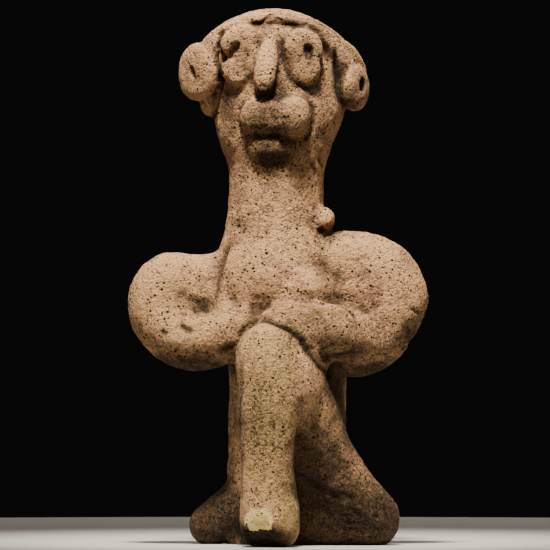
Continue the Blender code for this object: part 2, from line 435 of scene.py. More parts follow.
@dataclass(frozen=True)
class Trunk(SubAssembly):
    """The column of the body, neck and back of the head, with the chest, belly and seat."""

    column: Loft = Loft(
        (
            (-6, 4, 6, 26, 20),
            (30, 4, 5, 27, 21),
            (58, 4.3, 3, 27.2, 22),
            (76, 4.7, 2, 27.3, 22.5),
            (96, 2, 1, 27.6, 23.5),
            (115, -0.5, 0, 30, 24.5),
            (130, -0.5, 0, 28.5, 24),
            (142, -0.8, 0.5, 25.4, 22),
            (152, -0.8, 1, 22.8, 20.5),
            (166, -0.7, 1, 22, 20),
            (177, -0.5, 1, 23, 20.8),
            (188, -0.7, 1.5, 27, 22.5),
            (200, 0.6, 3, 30.6, 25.5),
            (213, 0.5, 4.5, 31, 26.5),
            (226, -1, 5, 30.5, 25.5),
            (236, -2, 5, 28, 22.5),
            (243, -2, 5, 21, 19),
        )
    )
    face: Pellet = Pellet((-1.5, -5, 211), (27, 17.2, 33))
    brow: Pellet = Pellet((-3, -7, 237), (27, 12.2, 9.5))
    chest: Pellet = Pellet((-4, -10.5, 122), (23, 17, 24))
    midriff: Pellet = Pellet((10, -13, 118), (18, 16.5, 13))
    seat: Pellet = Pellet((4, 9, 34), (28, 21, 34))
    belly: Roll = Roll(((-25, -11, 122, 7.5), (-26, -15, 111, 8.5), (-22, -19, 101, 9)))

    def masses(self) -> list[Mass]:
        """The column with its swellings."""
        return [self.column, self.face, self.brow, self.chest, self.midriff, self.seat, self.belly]

    def marks(self) -> list[Mark]:
        """The groove down the right edge of the chest, the hollow of the belly and dents left by fingers.

        Returns:
            The marks.
        """
        return [
            Mark(
                ((-22, 140), (-25.6, 133), (-27.6, 126), (-28.6, 118), (-30.4, 111)),
                3.6, 2.0, Profile.SHARP, 0.45, 0.3,
            ),
            Mark(((-15, 138), (-19, 128), (-20, 118)), 5, -1.0, side=Side.FRONT),
            Mark(((-10, 112), (-10.6, 109), (-11.4, 105.6)), 5, 0.8, Profile.ROUND, 0.25, 1.2),
            Mark(((-20, 149), (-14, 146)), 4, 0.9, Profile.ROUND, 0.35, 1),
            Mark(((16, 178), (18, 172)), 2.4, 0.8, Profile.ROUND, 0.3),
            Mark(((19, 180), (20.4, 176.6)), 1.8, 0.9, Profile.ROUND, 0.4),
            Mark(((-8, 160), (-7, 130), (-9, 100)), 13, 1.3, side=Side.BACK),
            Mark(((12, 180), (11, 150)), 9, 1.0, side=Side.BACK),
            Mark(((14, 70), (12, 92)), 9, 0.9, side=Side.BACK),
            Mark(((-15, 62), (-17, 84)), 8, 0.8, side=Side.BACK),
        ]

    def patches(self) -> list[Patch]:
        """Pink over the chest, cream at its edges, a little painted light on the neck below the chin, brown on
        the back, and painted shade in its recesses beside the arms and at the flanks.

        Returns:
            The patches.
        """
        return [
            Patch(Tint.PINK, (-4, -22, 126), (15, 16, 14), 0.9),
            Patch(Tint.CREAM, (-2, -22, 130), (16, 16, 14), 0.6),
            Patch(Tint.PINK, (6, -18, 134), (12, 16, 10), 0.5),
            Patch(Tint.CREAM, (-20, -20, 118), (8, 14, 20), 0.8),
            Patch(Tint.CREAM, (12, -20, 122), (6, 14, 10), 0.7),
            Patch(Tint.BROWN, (-11, -26, 107), (5, 14, 6), 0.5),
            Patch(Tint.BROWN, (22, -18, 124), (6, 14, 20), 0.4),
            # painted light: a lighter patch on the neck against the chin's shadow
            Patch(Tint.CREAM, (4, -18, 168), (18, 14, 10), 0.2),
            Patch(Tint.BROWN, (-2, 22, 150), (34, 16, 90), 0.3),
            Patch(Tint.BROWN, (29, 0, 72), (8, 34, 26), 0.15),
            Patch(Tint.BROWN, (-27, 0, 56), (12, 44, 46), 0.4),
            Patch(Tint.SOOT, (-4, -20, 156), (5, 8, 3.4), 0.35),
            Patch(Tint.PORES, (-8, -22, 134), (20, 16, 18), 0.26),
            Patch(Tint.PORES, (-18, -18, 148), (9, 12, 6), 0.65),
        ]


@dataclass(frozen=True)
class RaisedLeg(SubAssembly):
    """The right leg, held up in front as one thick roll, whose foot broke off."""

    shin: Roll = Roll(
        (
            (-3.4, -50.4, 10.5, 14.1),
            (-3.7, -49.5, 18, 13.6),
            (-4.4, -48, 32, 12.6),
            (-4.6, -47, 48, 12.6),
            (-4.4, -46, 62, 14.4),
            (-4.4, -44, 78, 14.8),
            (-5.2, -40.5, 88.6, 14.2),
        )
    )
    thigh: Roll = Roll(((-5, -40, 85.5, 15), (-2, -30, 84, 17.5), (2, -14, 80, 20)))
    web: Pellet = Pellet((5.6, -37, 77), (14, 16.4, 20), (0, -22, 0))
    break_centre: Triple = (-6, -54, 2.4)
    break_out: Triple = (-0.34, -0.46, -0.82)

    def masses(self) -> list[Mass]:
        """The shin, the thigh and the web that joins the two legs."""
        return [self.shin, self.thigh, self.web]

    def facets(self) -> list[Facet]:
        """The break where the foot was, and the chip above it.

        Returns:
            The facets.
        """
        return [
            Facet(self.break_centre, self.break_out, 26, 1.0),
            Facet((-10.5, -61, 12), (-0.36, -0.9, -0.24), 7, 0.3),
        ]

    def marks(self) -> list[Mark]:
        """The seam where the knee meets the belly, pits down the shin and the ragged break.

        Returns:
            The marks.
        """
        return [
            Mark(((-18, 95), (-14.5, 101), (-8.8, 105), (-4, 105)), 2.2, 1.0, Profile.SHARP, 0.45, 0.5),
            Mark(((-16.6, 84), (-17.4, 60), (-16.4, 34), (-16.4, 12)), 1.8, 0.5, Profile.SHARP, 0.35, 0.6),
            Mark(((-9, 78), (-10, 58), (-9, 40)), 5, 0.5, soil=0.15),
            Mark(((-17, 7), (-9, 6), (-2, 5.4)), 6, 0.2, Profile.ROUND, 1.0, 1.2),
            Mark(((-16, 2.6), (-8, 2), (2, 1.8)), 6, 0.2, Profile.ROUND, 1.0, 1.2),
            Mark(((-17, 9), (-13, 7.4), (-9, 6.8), (-4, 7.8), (-1, 6.6)), 1.7, 1.1, Profile.SHARP, 0.9, 0.8),
            Mark(((-17, 6.4), (-12, 5), (-6, 5.4), (0, 4.4)), 1.6, 0.9, Profile.SHARP, 0.9, 0.8),
            Mark(((-15, 4), (-9, 2.8), (-3, 3.4), (3, 2.8)), 1.5, 0.9, Profile.SHARP, 0.9, 0.8),
            Mark(((-13, 1.6), (-6, 1), (2, 1.4)), 1.4, 0.7, Profile.SHARP, 0.9, 0.6),
        ]

    def patches(self) -> list[Patch]:
        """Yellow and cream, where the leg is worn smooth, with a pale chip at the foot, painted shade down
        both sides of the shin and brown at its foot by the ground.

        Returns:
            The patches.
        """
        return [
            Patch(Tint.OCHRE, (-4, -56, 62), (16, 22, 44), 0.9),
            Patch(Tint.OCHRE, (-10, -56, 92), (8, 12, 9), 1.0),
            Patch(Tint.CREAM, (-2, -62, 26), (10, 12, 12), 0.7),
            Patch(Tint.CHIP, (-9, -62, 13), (9, 10, 7), 1.0),
            Patch(Tint.SOOT, (-2, -62, 17), (5, 8, 6), 0.5),
            Patch(Tint.BROWN, (-8, -56, 3), (15, 24, 8), 1.0),
            Patch(Tint.OCHRE, (6, -56, 20), (8, 16, 18), 0.9),
            Patch(Tint.ROUGH, (-9, -58, 56), (13, 18, 30), 1.0),
            Patch(Tint.BROWN, (-18, -42, 60), (4, 20, 40), 0.5),
            Patch(Tint.BROWN, (12, -46, 30), (5, 22, 30), 0.6),
            Patch(Tint.PORES, (-6, -60, 52), (14, 14, 26), 0.3),
        ]


@dataclass(frozen=True)
class KneelingLeg(SubAssembly):
    """The left leg, whose knee is on the ground and whose calf is folded across behind it."""

    thigh: Roll = Roll(
        (
            (2, -34, 82, 15.4),
            (7.8, -31, 72.5, 15.4),
            (13.2, -26.5, 60, 15),
            (18.8, -21.5, 46, 14.8),
            (27.5, -16.5, 29, 15.6),
            (42.4, -12, 12, 14.7),
        )
    )
    calf: Roll = Roll(
        (
            (42.2, -11, 12, 14.2),
            (28, -11, 14, 15.5),
            (12, -7, 14.5, 16.5),
            (-4, 2, 16, 16.5),
            (-16, 8, 16, 14.5),
            (-24.5, 8.5, 13, 12),
            (-31.8, 8, 9, 10.3),
        )
    )

    flank: Pellet = Pellet((20, -12, 64), (11, 15, 22), (0, -16, 0))

    def masses(self) -> list[Mass]:
        """The thigh, the flank beside it and the calf."""
        return [self.thigh, self.flank, self.calf]

    def marks(self) -> list[Mark]:
        """The crease behind the knee, with finger strokes and scales of clay along the calf below it.

        Returns:
            The marks.
        """
        strokes = []
        for row in range(5):
            start, end = (14 + 4 * row, 25 - 4 * row), (40 + 2 * row, 15 - 2.6 * row)
            path = (start, (28 + 3 * row, 22 - 3.6 * row), end)
            strokes.append(Mark(path, 1.3, 0.5, soil=0.2, wander=1.2))
        for row in range(6):
            for column in range(4):
                x = 20 + 8 * column + 3.5 * (row % 2)
                z = 33 - 4.6 * row - 2.6 * column
                if z > 4:
                    path = ((x, z), (x + 2.5, z - 1.2), (x + 5.5, z - 3.6))
                    strokes.append(Mark(path, 1.3, -0.7, Profile.SHARP, 0, 0.9))
        return strokes + [
            Mark(((8, 34), (14, 30.5), (22, 26), (30, 22)), 2.8, 1.3, Profile.SHARP, 0.5, 0.6),
            Mark(((30, 24), (36, 22), (41, 17)), 2.0, 0.6, Profile.SHARP, 0.3, 0.6),
            Mark(((-35, 5), (-30, 3.6), (-24, 3)), 2.2, 0.6, soil=0.4, wander=0.6),
        ]

    def patches(self) -> list[Patch]:
        """Brown all over with painted shade on it, deepest in the recess beside the raised leg and on the
        flank under the arm, and yellow where the thigh is worn.

        Returns:
            The patches.
        """
        return [
            Patch(Tint.BROWN, (28, -16, 8), (46, 46, 30), 1.0),
            Patch(Tint.BROWN, (14, -26, 34), (22, 40, 24), 1.0),
            Patch(Tint.BROWN, (31, -14, 50), (9, 30, 26), 0.8),
            Patch(Tint.OCHRE, (17, -38, 68), (8, 12, 16), 0.5),
            Patch(Tint.BROWN, (27, -20, 66), (10, 26, 26), 0.9),
            Patch(Tint.BROWN, (18, -34, 60), (9, 14, 20), 0.3),
            Patch(Tint.BROWN, (-30, 4, 10), (22, 34, 26), 0.85),
            Patch(Tint.SOOT, (22, -34, 44), (5, 8, 4), 0.45),
            Patch(Tint.PORES, (20, -34, 45), (6, 8, 4), 0.65),
            Patch(Tint.ROUGH, (34, -16, 18), (30, 34, 34), 1.0),
            Patch(Tint.ROUGH, (-30, 2, 14), (18, 30, 26), 1.0),
        ]


@dataclass(frozen=True)
class RightArm(SubAssembly):
    """The right arm, a thinner loop whose elbow turns out and whose forearm comes back to the belly."""

    loop: Roll = Roll(
        (
            (-10, 0, 124, 12.5),
            (-26, -1, 123.2, 13.2),
            (-38, -2.5, 121.6, 13.9),
            (-51, -4.5, 120.6, 15.4),
            (-55.4, -6, 112.3, 15),
            (-51.4, -8, 102.4, 15),
            (-44, -10.5, 96.8, 14.8),
            (-34, -13, 95.4, 14.4),
            (-23, -16, 98.4, 13.4),
            (-14, -18, 102, 11.5),
        )
    )
    web: Pellet = Pellet((-42, -6, 110), (18, 13.4, 16))

    def masses(self) -> list[Mass]:
        """The loop and the clay smeared across its inside."""
        return [self.loop, self.web]

    def marks(self) -> list[Mark]:
        """The fold inside the elbow, with small dents underneath.

        Returns:
            The marks.
        """
        return [
            Mark(((-47, 117.4), (-41, 114.6), (-34, 110.6)), 7, 0.9, Profile.ROUND, 0.1, 0.8),
            Mark(((-44, 116), (-40, 113.6), (-36, 111.4), (-31.6, 109.4)), 4.4, 0.6, soil=0.1, wander=1.4),
            Mark(((-39, 111.4), (-35, 109.4), (-31, 108.4)), 3.0, 0.6, Profile.ROUND, 0.25, 1.0),
            Mark(
                ((-44, 101.6), (-42.4, 100.4), (-40.6, 99.6)),
                1.5, 1.5, Profile.SHARP, 1.0, 0.5, tapered=False,
            ),
            Mark(((-53, 99), (-52, 98.4)), 1.2, 1.2, Profile.SHARP, 1.0, 0.3, tapered=False),
            Mark(((-26, 90), (-20, 93)), 2, 0.7, Profile.SHARP, 0.6, 0.6),
        ]

    def patches(self) -> list[Patch]:
        """Cream above, painted shade underneath and in the fold of the elbow.

        Returns:
            The patches.
        """
        return [
            Patch(Tint.CREAM, (-50, -14, 120), (20, 16, 18), 1.0),
            Patch(Tint.CREAM, (-46, -20, 98), (14, 14, 8), 0.5),
            Patch(Tint.PINK, (-31, -10, 132), (6, 12, 6), 1.0),
            Patch(Tint.BROWN, (-42, -12, 82), (26, 20, 9), 1.0),
            Patch(Tint.ROUGH, (-44, -14, 86), (24, 20, 10), 1.0),
            Patch(Tint.BROWN, (-24, -20, 92), (7, 14, 6), 0.6),
            Patch(Tint.BROWN, (-36, -20, 112), (9, 10, 5), 0.7),
            Patch(Tint.PORES, (-48, -16, 108), (20, 16, 22), 0.45),
        ]


@dataclass(frozen=True)
class LeftArm(SubAssembly):
    """The left arm, a fat flat loop whose hand lies over the belly."""

    loop: Roll = Roll(
        (
            (10, 0, 123, 14),
            (27, -1, 128.6, 16.8),
            (37.3, -2, 129.2, 17),
            (48, -3.5, 125.2, 17.2),
            (53.2, -5.5, 113.8, 17),
            (48.6, -8, 102.2, 16.2),
            (40, -10.5, 95.6, 16.8),
            (28, -13, 94, 15.2),
            (17, -14, 96, 12),
        )
    )
    web: Pellet = Pellet((38, -5, 112.5), (23, 17.4, 21))
    hand: Roll = Roll(
        ((37, -18, 95.5, 13), (26, -25.5, 98.4, 13.2), (14.5, -31, 100.6, 12), (4, -31, 105.6, 8.6))
    )
    palm: Roll = Roll(
        ((-3, -32, 103.5, 6.5), (6, -33.5, 98, 7.5), (12.5, -34, 91, 8.5), (16.5, -31, 85.5, 8))
    )

    def masses(self) -> list[Mass]:
        """The loop, the clay smeared across its inside, the hand and the palm that joins it to the knee."""
        return [self.loop, self.web, self.hand, self.palm]

    def facets(self) -> list[Facet]:
        """The break at the elbow, where a scale of clay came away."""
        return [Facet((64.4, -6, 100.4), (0.9, -0.12, -0.42), 15, 0.6)]

    def marks(self) -> list[Mark]:
        """The edges of the hand, the fold under the forearm and a lifted sliver of clay.

        Returns:
            The marks.
        """
        return [
            Mark(
                ((17, 113.8), (24.4, 111), (30, 108.8), (33.6, 105), (34.4, 101)),
                1.6, -0.9, Profile.SHARP, 0, 0.3,
            ),
            Mark(((31.6, 110), (35.4, 106.6), (36.8, 102)), 1.6, 1.0, Profile.SHARP, 0.5, 0.3),
            Mark(
                ((-7, 104), (1.2, 101.3), (7, 98), (11, 94.2), (15.1, 88.3), (18.2, 84), (24, 78.4)),
                2.2, 1.1, Profile.SHARP, 0.95, 1.0,
            ),
            Mark(((20, 86.4), (25, 87.2), (31, 88.2), (37.6, 90.4)), 3.6, 1.6, Profile.ROUND, 0.7, 0.6),
            Mark(((-4, 104), (5, 99.8), (12.4, 92.4), (16.8, 86.6)), 1.6, 0.8, Profile.SHARP, 0.7, 2.0),
            Mark(((26, 119.4), (30.6, 123), (37.4, 124.4)), 1.8, 0.5, Profile.SHARP, 0.2, 0.4),
            Mark(((61, 110.4), (65, 108.4), (69, 108)), 1.8, 1.1, Profile.SHARP, 0.3, 0.6),
            Mark(((36, 131.6), (41, 134.6)), 1.1, 0.5, Profile.SHARP, 0.4, 0.4),
        ]

    def patches(self) -> list[Patch]:
        """Cream round the shoulder, pink inside the loop, olive and brown on the hand, brown at the elbow, and
        painted shade inside the loop and under the arm.

        Returns:
            The patches.
        """
        return [
            Patch(Tint.CREAM, (38, -14, 137), (20, 14, 9), 0.8),
            Patch(Tint.PINK, (44, -18, 126), (12, 12, 8), 0.7),
            Patch(Tint.PINK, (52, -18, 116), (9, 12, 8), 0.5),
            Patch(Tint.CREAM, (62, -14, 118), (7, 14, 14), 0.6),
            Patch(Tint.BROWN, (38, -20, 110), (8, 12, 8), 0.4),
            Patch(Tint.OCHRE, (20, -34, 102), (16, 12, 9), 0.6),
            Patch(Tint.BROWN, (13, -40, 107), (18, 14, 8), 0.4),
            Patch(Tint.BROWN, (22, -38, 94), (18, 16, 9), 0.25),
            Patch(Tint.BROWN, (60, -10, 98), (9, 14, 11), 0.6),
            Patch(Tint.BROWN, (40, -14, 80), (26, 18, 7), 0.8),
            Patch(Tint.SOOT, (41, -20, 114), (4, 8, 4), 0.5),
            Patch(Tint.ROUGH, (22, -34, 92), (22, 24, 14), 1.0),
            Patch(Tint.ROUGH, (50, -12, 90), (26, 24, 16), 1.0),
            Patch(Tint.PORES, (53, -18, 120), (8, 14, 10), 1.0),
        ]


@dataclass(frozen=True)
class Cap(SubAssembly):
    """The cap: a dome over the crown, with a rolled rim from ear to ear and loose strands at the left."""

    dome: Dome = Dome(Pellet((-1.8, 4.5, 217.3), (39, 35, 33), (0, 3, 0)), (-3, -16.6, 244.9), (-37, 5, 220))
    rim: Roll = Roll(
        (
            (-37, 5, 220, 4),
            (-33.2, -4.5, 232, 3.4),
            (-25, -10.6, 239.4, 3),
            (-15, -14.4, 243.4, 2.8),
            (-3, -15.8, 244.9, 2.8),
            (8, -14.8, 244.2, 2.8),
            (17.6, -12.2, 241, 3),
            (26.4, -8, 234.6, 3.2),
            (33, -3, 229.4, 3.8),
            (37.4, 5, 221, 4.2),
        )
    )
    left_band: Roll = Roll(
        (
            (12, -10.5, 240.5, 4.5),
            (22, -7, 235.5, 6),
            (29, -2.5, 227, 7),
            (31.5, 1, 218, 7),
            (30.5, 3.5, 209, 5.5),
        )
    )
    right_band: Roll = Roll(
        (
            (-14, -11.5, 240.5, 4.5),
            (-24, -8, 236, 6),
            (-30.5, -3.5, 228, 6.5),
            (-31.5, 1, 216, 6.5),
            (-30.8, 4, 205, 5.5),
        )
    )

    def swellings(self) -> list[Mass]:
        """The bands that come down from the dome to the ears."""
        return [self.left_band, self.right_band]

    def features(self) -> list[Mass]:
        """The dome and its rim."""
        return [self.dome, self.rim]

    def marks(self) -> list[Mark]:
        """The torn edge over the brow, the grooves between the strands and the cracks beside the ears.

        Returns:
            The marks.
        """
        strands = []
        for step in (0, 3.4):
            path = ((14 + step, 244.4), (24 + step, 240 - step / 2), (33 + step / 2, 231))
            strands.append(Mark(path, 0.9, 0.7, Profile.SHARP, 0.5, 0.4))
        return strands + [
            Mark(((-12, 242), (-8, 242.6), (-5, 245), (-2.6, 246.4)), 1.0, 1.5, Profile.SHARP, 0.7, 0.5),
            Mark(((-1, 245), (2, 243.6)), 1.0, 1.0, Profile.SHARP, 0.6, 0.3),
            Mark(((4, 242.2), (9.9, 241.2)), 0.9, 0.9, Profile.CRACK, 0.7, 0.3),
            Mark(((26.4, 231), (26.6, 222), (28, 214), (28.6, 206)), 1.2, 1.7, Profile.SHARP, 0.9, 0.5),
            Mark(
                (
                    (-25.9, 238), (-27.2, 231.8), (-25.6, 227), (-27.2, 222.7), (-25.9, 216.8),
                    (-27.5, 207.7), (-30, 199.3),
                ),
                1.5, 2.8, Profile.SHARP, 1.0, 0.5,
            ),
        ]

    def patches(self) -> list[Patch]:
        """Cream and pink over the front, brown behind.

        Returns:
            The patches.
        """
        return [
            Patch(Tint.CREAM, (-20, -6, 244), (20, 14, 8), 0.6),
            Patch(Tint.PINK, (8, -8, 246), (14, 12, 6), 0.6),
            Patch(Tint.BROWN, (0, 30, 225), (40, 18, 26), 0.35),
            Patch(Tint.BROWN, (33, -8, 209), (6, 10, 8), 0.6),
        ]


@dataclass(frozen=True)
class Ear(SubAssembly):
    """A pierced disc of clay for an ear."""

    disc: Pellet
    hole: Pellet
    scar: tuple[Pair, ...]

    def features(self) -> list[Mass]:
        """The disc."""
        return [self.disc]

    def punches(self) -> list[Pellet]:
        """The hole."""
        return [self.hole]

    def marks(self) -> list[Mark]:
        """A scratch across the disc."""
        return [Mark(self.scar, 1.1, 0.7, Profile.SHARP, 0.5, 0.4)]


@dataclass(frozen=True)
class RightEye(SubAssembly):
    """The right eye: a lobe above, a thick crescent below and a slanted hole between them."""

    upper: Pellet = Pellet((-17.6, -16.8, 234.2), (9.8, 4.8, 7.2), (0, -28, 0), 0.7)
    lower: Pellet = Pellet((-18.8, -16.2, 221.8), (7.4, 4.6, 8.8), (0, 10, 0), 0.7)
    crescent: Roll = Roll(
        (
            (-24.6, -14.4, 230, 2.4),
            (-25.2, -15.6, 224.5, 2.6),
            (-23.2, -17.4, 218.6, 2.6),
            (-18.6, -18.8, 216.2, 2.7),
            (-14, -19, 219, 2.7),
            (-12.2, -19, 224, 2.7),
            (-11.4, -18.4, 230, 2.4),
        )
    )
    hole: Pellet = Pellet((-19.8, -22.4, 230.4), (2.4, 2.5, 4), (0, 32, 0))

    def swellings(self) -> list[Mass]:
        """The lobe, and the crescent that runs round below it."""
        return [self.upper, self.lower, self.crescent]

    def punches(self) -> list[Pellet]:
        """The hole."""
        return [self.hole]

    def marks(self) -> list[Mark]:
        """The groove from the hole to the eye's outer edge, and the hollow round it.

        Returns:
            The marks.
        """
        return [
            Mark(((-20.5, 229.4), (-23, 227), (-26, 225)), 2.4, 1.3, Profile.ROUND, 0.5, 0.3),
            Mark(((-17.6, 234), (-20, 228), (-18, 222)), 4.4, 1.0, Profile.ROUND, 0.25, 0.3),
        ]


@dataclass(frozen=True)
class LeftEye(SubAssembly):
    """The left eye: an egg-shaped disc with a hollow that runs down from its hole."""

    upper: Pellet = Pellet((11.4, -17.4, 230.2), (9.6, 4.7, 10.4), (0, -6, 0), 0.65)
    lower: Pellet = Pellet((12.6, -18, 221.2), (7.4, 4.6, 8.6), press=0.65)
    hole: Pellet = Pellet((14.3, -22.8, 229), (2.8, 1.6, 3.6), (0, -10, 0))

    def swellings(self) -> list[Mass]:
        """The disc, which narrows downwards."""
        return [self.upper, self.lower]

    def punches(self) -> list[Pellet]:
        """The hole."""
        return [self.hole]

    def marks(self) -> list[Mark]:
        """The hollow below the hole, and the crease round the disc.

        Returns:
            The marks.
        """
        return [
            Mark(((13.6, 233), (14.6, 227), (14.8, 220.6)), 3.6, 1.4, Profile.ROUND, 0.2, 0.2),
            Mark(
                ((3.4, 238), (1.6, 231), (3.2, 223), (7, 215), (13, 211.8), (18.4, 214)),
                1.5, 0.7, Profile.ROUND, 0.3, 0.4,
            ),
        ]


@dataclass(frozen=True)
class Nose(SubAssembly):
    """The nose: a long roll whose tip is broken away underneath."""

    roll: Roll = Roll(
        (
            (-5, -14.8, 240.5, 2.4),
            (-4.4, -17, 234, 3.8),
            (-4.6, -19.8, 228, 4.8),
            (-5.4, -22.6, 221.5, 5.5),
            (-6.2, -24.2, 216, 5),
            (-6.7, -24.6, 212, 3.6),
        )
    )

    def swellings(self) -> list[Mass]:
        """The roll."""
        return [self.roll]

    def marks(self) -> list[Mark]:
        """The ragged tip.

        Returns:
            The marks.
        """
        return [
            Mark(((-10, 211.4), (-7.6, 209.4), (-4.6, 209.8)), 1.5, 1.0, Profile.SHARP, 0.9, 0.4),
            Mark(((-7.4, 213.4), (-5, 212.2)), 1.0, 0.7, Profile.SHARP, 0.8, 0.3),
            Mark(((-10.8, 226), (-11.6, 218), (-12.4, 211)), 1.8, 0.6, Profile.ROUND, 0.35, 0.4),
        ]

    def patches(self) -> list[Patch]:
        """Cream along its ridge, brown at the tip, painted shade in the hollows beside it and full of pores.

        Returns:
            The patches.
        """
        return [
            Patch(Tint.CREAM, (-4.6, -29, 221), (4.4, 9, 14), 1.0),
            Patch(Tint.BROWN, (-7, -28, 208.6), (5, 8, 3.4), 0.9),
            Patch(Tint.BROWN, (6, -18, 222), (5, 10, 12), 0.6),
            Patch(Tint.BROWN, (-14, -18, 220), (4.4, 10, 10), 0.5),
            Patch(Tint.PORES, (-5, -27, 222), (7, 9, 16), 0.65),
        ]


@dataclass(frozen=True)
class Mouth(SubAssembly):
    """The mouth: a lump that stands out more at the left, a slit in it and a lower lip beneath."""

    lips: Pellet = Pellet((-4, -16.4, 198.6), (12, 11, 9.6), (0, 4, 0), 0.8)
    left_swell: Pellet = Pellet((6.4, -18.8, 198.8), (9, 11.2, 10.9), (0, 8, 0), 0.8)
    right_swell: Pellet = Pellet((-11.2, -15.6, 199.2), (6.8, 10.4, 9.4), (0, 8, 0), 0.85)
    chin: Pellet = Pellet((-3.4, -15.4, 185), (10.8, 9.4, 8.8), (-4, 0, 0), 0.95)

    def swellings(self) -> list[Mass]:
        """The lips and the chin."""
        return [self.lips, self.left_swell, self.right_swell, self.chin]

    def marks(self) -> list[Mark]:
        """The slit, the recess under the nose and the crease below the lips, whose dark dirt is partly painted
        shade under the lips.

        Returns:
            The marks.
        """
        return [
            Mark(((-2.4, 198.4), (1, 197.8), (5, 198.6)), 1.1, 0.7, Profile.SHARP, 0.5, 0.3),
            Mark(((-5, 205), (-3, 202.6), (-1, 200.6)), 2.8, 0.6, Profile.ROUND, 0.2, 0.3),
            Mark(((-15, 192), (-10, 190), (-3, 189), (4, 188), (9, 186.6)), 2.4, 0.3, soil=0.4, wander=0.3),
            Mark(
                ((12.4, 208), (15.8, 204), (16.6, 198), (15, 191), (10.5, 186.6)),
                1.8, 0.9, soil=0.3, wander=0.4,
            ),
            Mark(((-15.6, 206.5), (-17.8, 201), (-18, 195), (-15.6, 190.6)), 1.6, 0.6, soil=0.3, wander=0.4),
        ]

    def patches(self) -> list[Patch]:
        """Painted shade under the lips, under the chin and in the hollows beside the mouth, with brown over
        the lips.

        Returns:
            The patches.
        """
        return [
            Patch(Tint.BROWN, (-3.4, -24, 179.4), (10, 10, 5), 1.0),
            Patch(Tint.BROWN, (-3, -24, 187), (13, 10, 6), 0.6),
            Patch(Tint.BROWN, (-6, -28, 198), (15, 10, 10), 0.6),
            Patch(Tint.BROWN, (20, -18, 203), (6, 12, 18), 0.3),
            Patch(Tint.BROWN, (-23, -14, 204), (7, 12, 18), 0.5),
            Patch(Tint.PORES, (-8, -27, 196), (12, 9, 9), 0.52),
            Patch(Tint.ROUGH, (0, -24, 190), (30, 16, 18), 0.8),
            Patch(Tint.ROUGH, (12, -22, 222), (14, 12, 16), 0.6),
        ]


@dataclass(frozen=True)
class NeckPellet(SubAssembly):
    """A small pellet at the left of the neck, with a pit beside it."""

    ball: Pellet = Pellet((20.2, -6.6, 150.8), (6.6, 6.8, 7), (0, 20, 0))
    pit: Pellet = Pellet((20.4, -13, 145.8), (2.3, 2.8, 2))

    def swellings(self) -> list[Mass]:
        """The pellet."""
        return [self.ball]

    def punches(self) -> list[Pellet]:
        """The pit."""
        return [self.pit]


RIGHT_EAR = Ear(
    Pellet((-36.6, -3, 220.4), (13.6, 5, 13.8), (0, -8, -52), 0.7),
    Pellet((-42.2, -8.4, 220), (2.6, 4.6, 4.6), (0, -24, -52)),
    ((-36, 206.4), (-31, 209), (-28, 213)),
)
LEFT_EAR = Ear(
    Pellet((35.9, -3, 213), (10.6, 4, 11), (0, 8, 58), 0.7),
    Pellet((40.8, -5, 214.4), (2.8, 4, 3.9), (0, 14, 58)),
    ((30, 207), (33, 204), (37, 203)),
)


# --------------------------------------------------------------------------------------------------
# The skin
# --------------------------------------------------------------------------------------------------


def evaluated_mesh(obj: bpy.types.Object) -> bpy.types.Mesh:
    """A new mesh of the object as its modifiers leave it."""
    bpy.context.view_layer.update()
    return bpy.data.meshes.new_from_object(obj.evaluated_get(bpy.context.evaluated_depsgraph_get()))


@dataclass(frozen=True)
class Graininess:
    """Smooth random numbers in space, the same each run.

    Attributes:
        seed: which set of numbers.
    """

    seed: int = SEED

    def corner(self, cells: np.ndarray) -> np.ndarray:
        """A number from -1 to 1 for each whole-numbered cell corner.

        Args:
            cells: a row of three whole numbers for each corner.

        Returns:
            The numbers.
        """
        across, along, up = (cells[:, axis] * prime for axis, prime in enumerate(CELL_PRIMES))
        mixed = across ^ along ^ up ^ self.seed * SEED_PRIME
        mixed = (mixed ^ (mixed >> 13)) * MIX_PRIME
        mixed = (mixed ^ (mixed >> 16)) & 0xFFFFFF
        return mixed / 0x7FFFFF - 1

    def at(self, points: np.ndarray, size: float) -> np.ndarray:
        """The numbers at some points.

        Args:
            points: rows of x, y and z.
            size: how far apart the numbers' corners are.

        Returns:
            One number from -1 to 1 for each point.
        """
        scaled = points / size
        cells = np.floor(scaled).astype(np.int64)
        part = scaled - cells
        part = part * part * (3 - 2 * part)
        total = np.zeros(len(points))
        for corner in np.ndindex(2, 2, 2):
            weight = np.prod(np.where(np.array(corner), part, 1 - part), axis=1)
            total += weight * self.corner(cells + np.array(corner))
        return total

    def octaves(self, points: np.ndarray, size: float, count: int) -> np.ndarray:
        """Several layers of the numbers, each half as large and half as strong as the last.

        Args:
            points: rows of x, y and z.
            size: how far apart the first layer's corners are.
            count: how many layers there are.

        Returns:
            The layers' sum for each point.
        """
        return sum(
            self.at(points + OCTAVE_SHIFT * layer, size / 2**layer) / 2**layer for layer in range(count)
        )


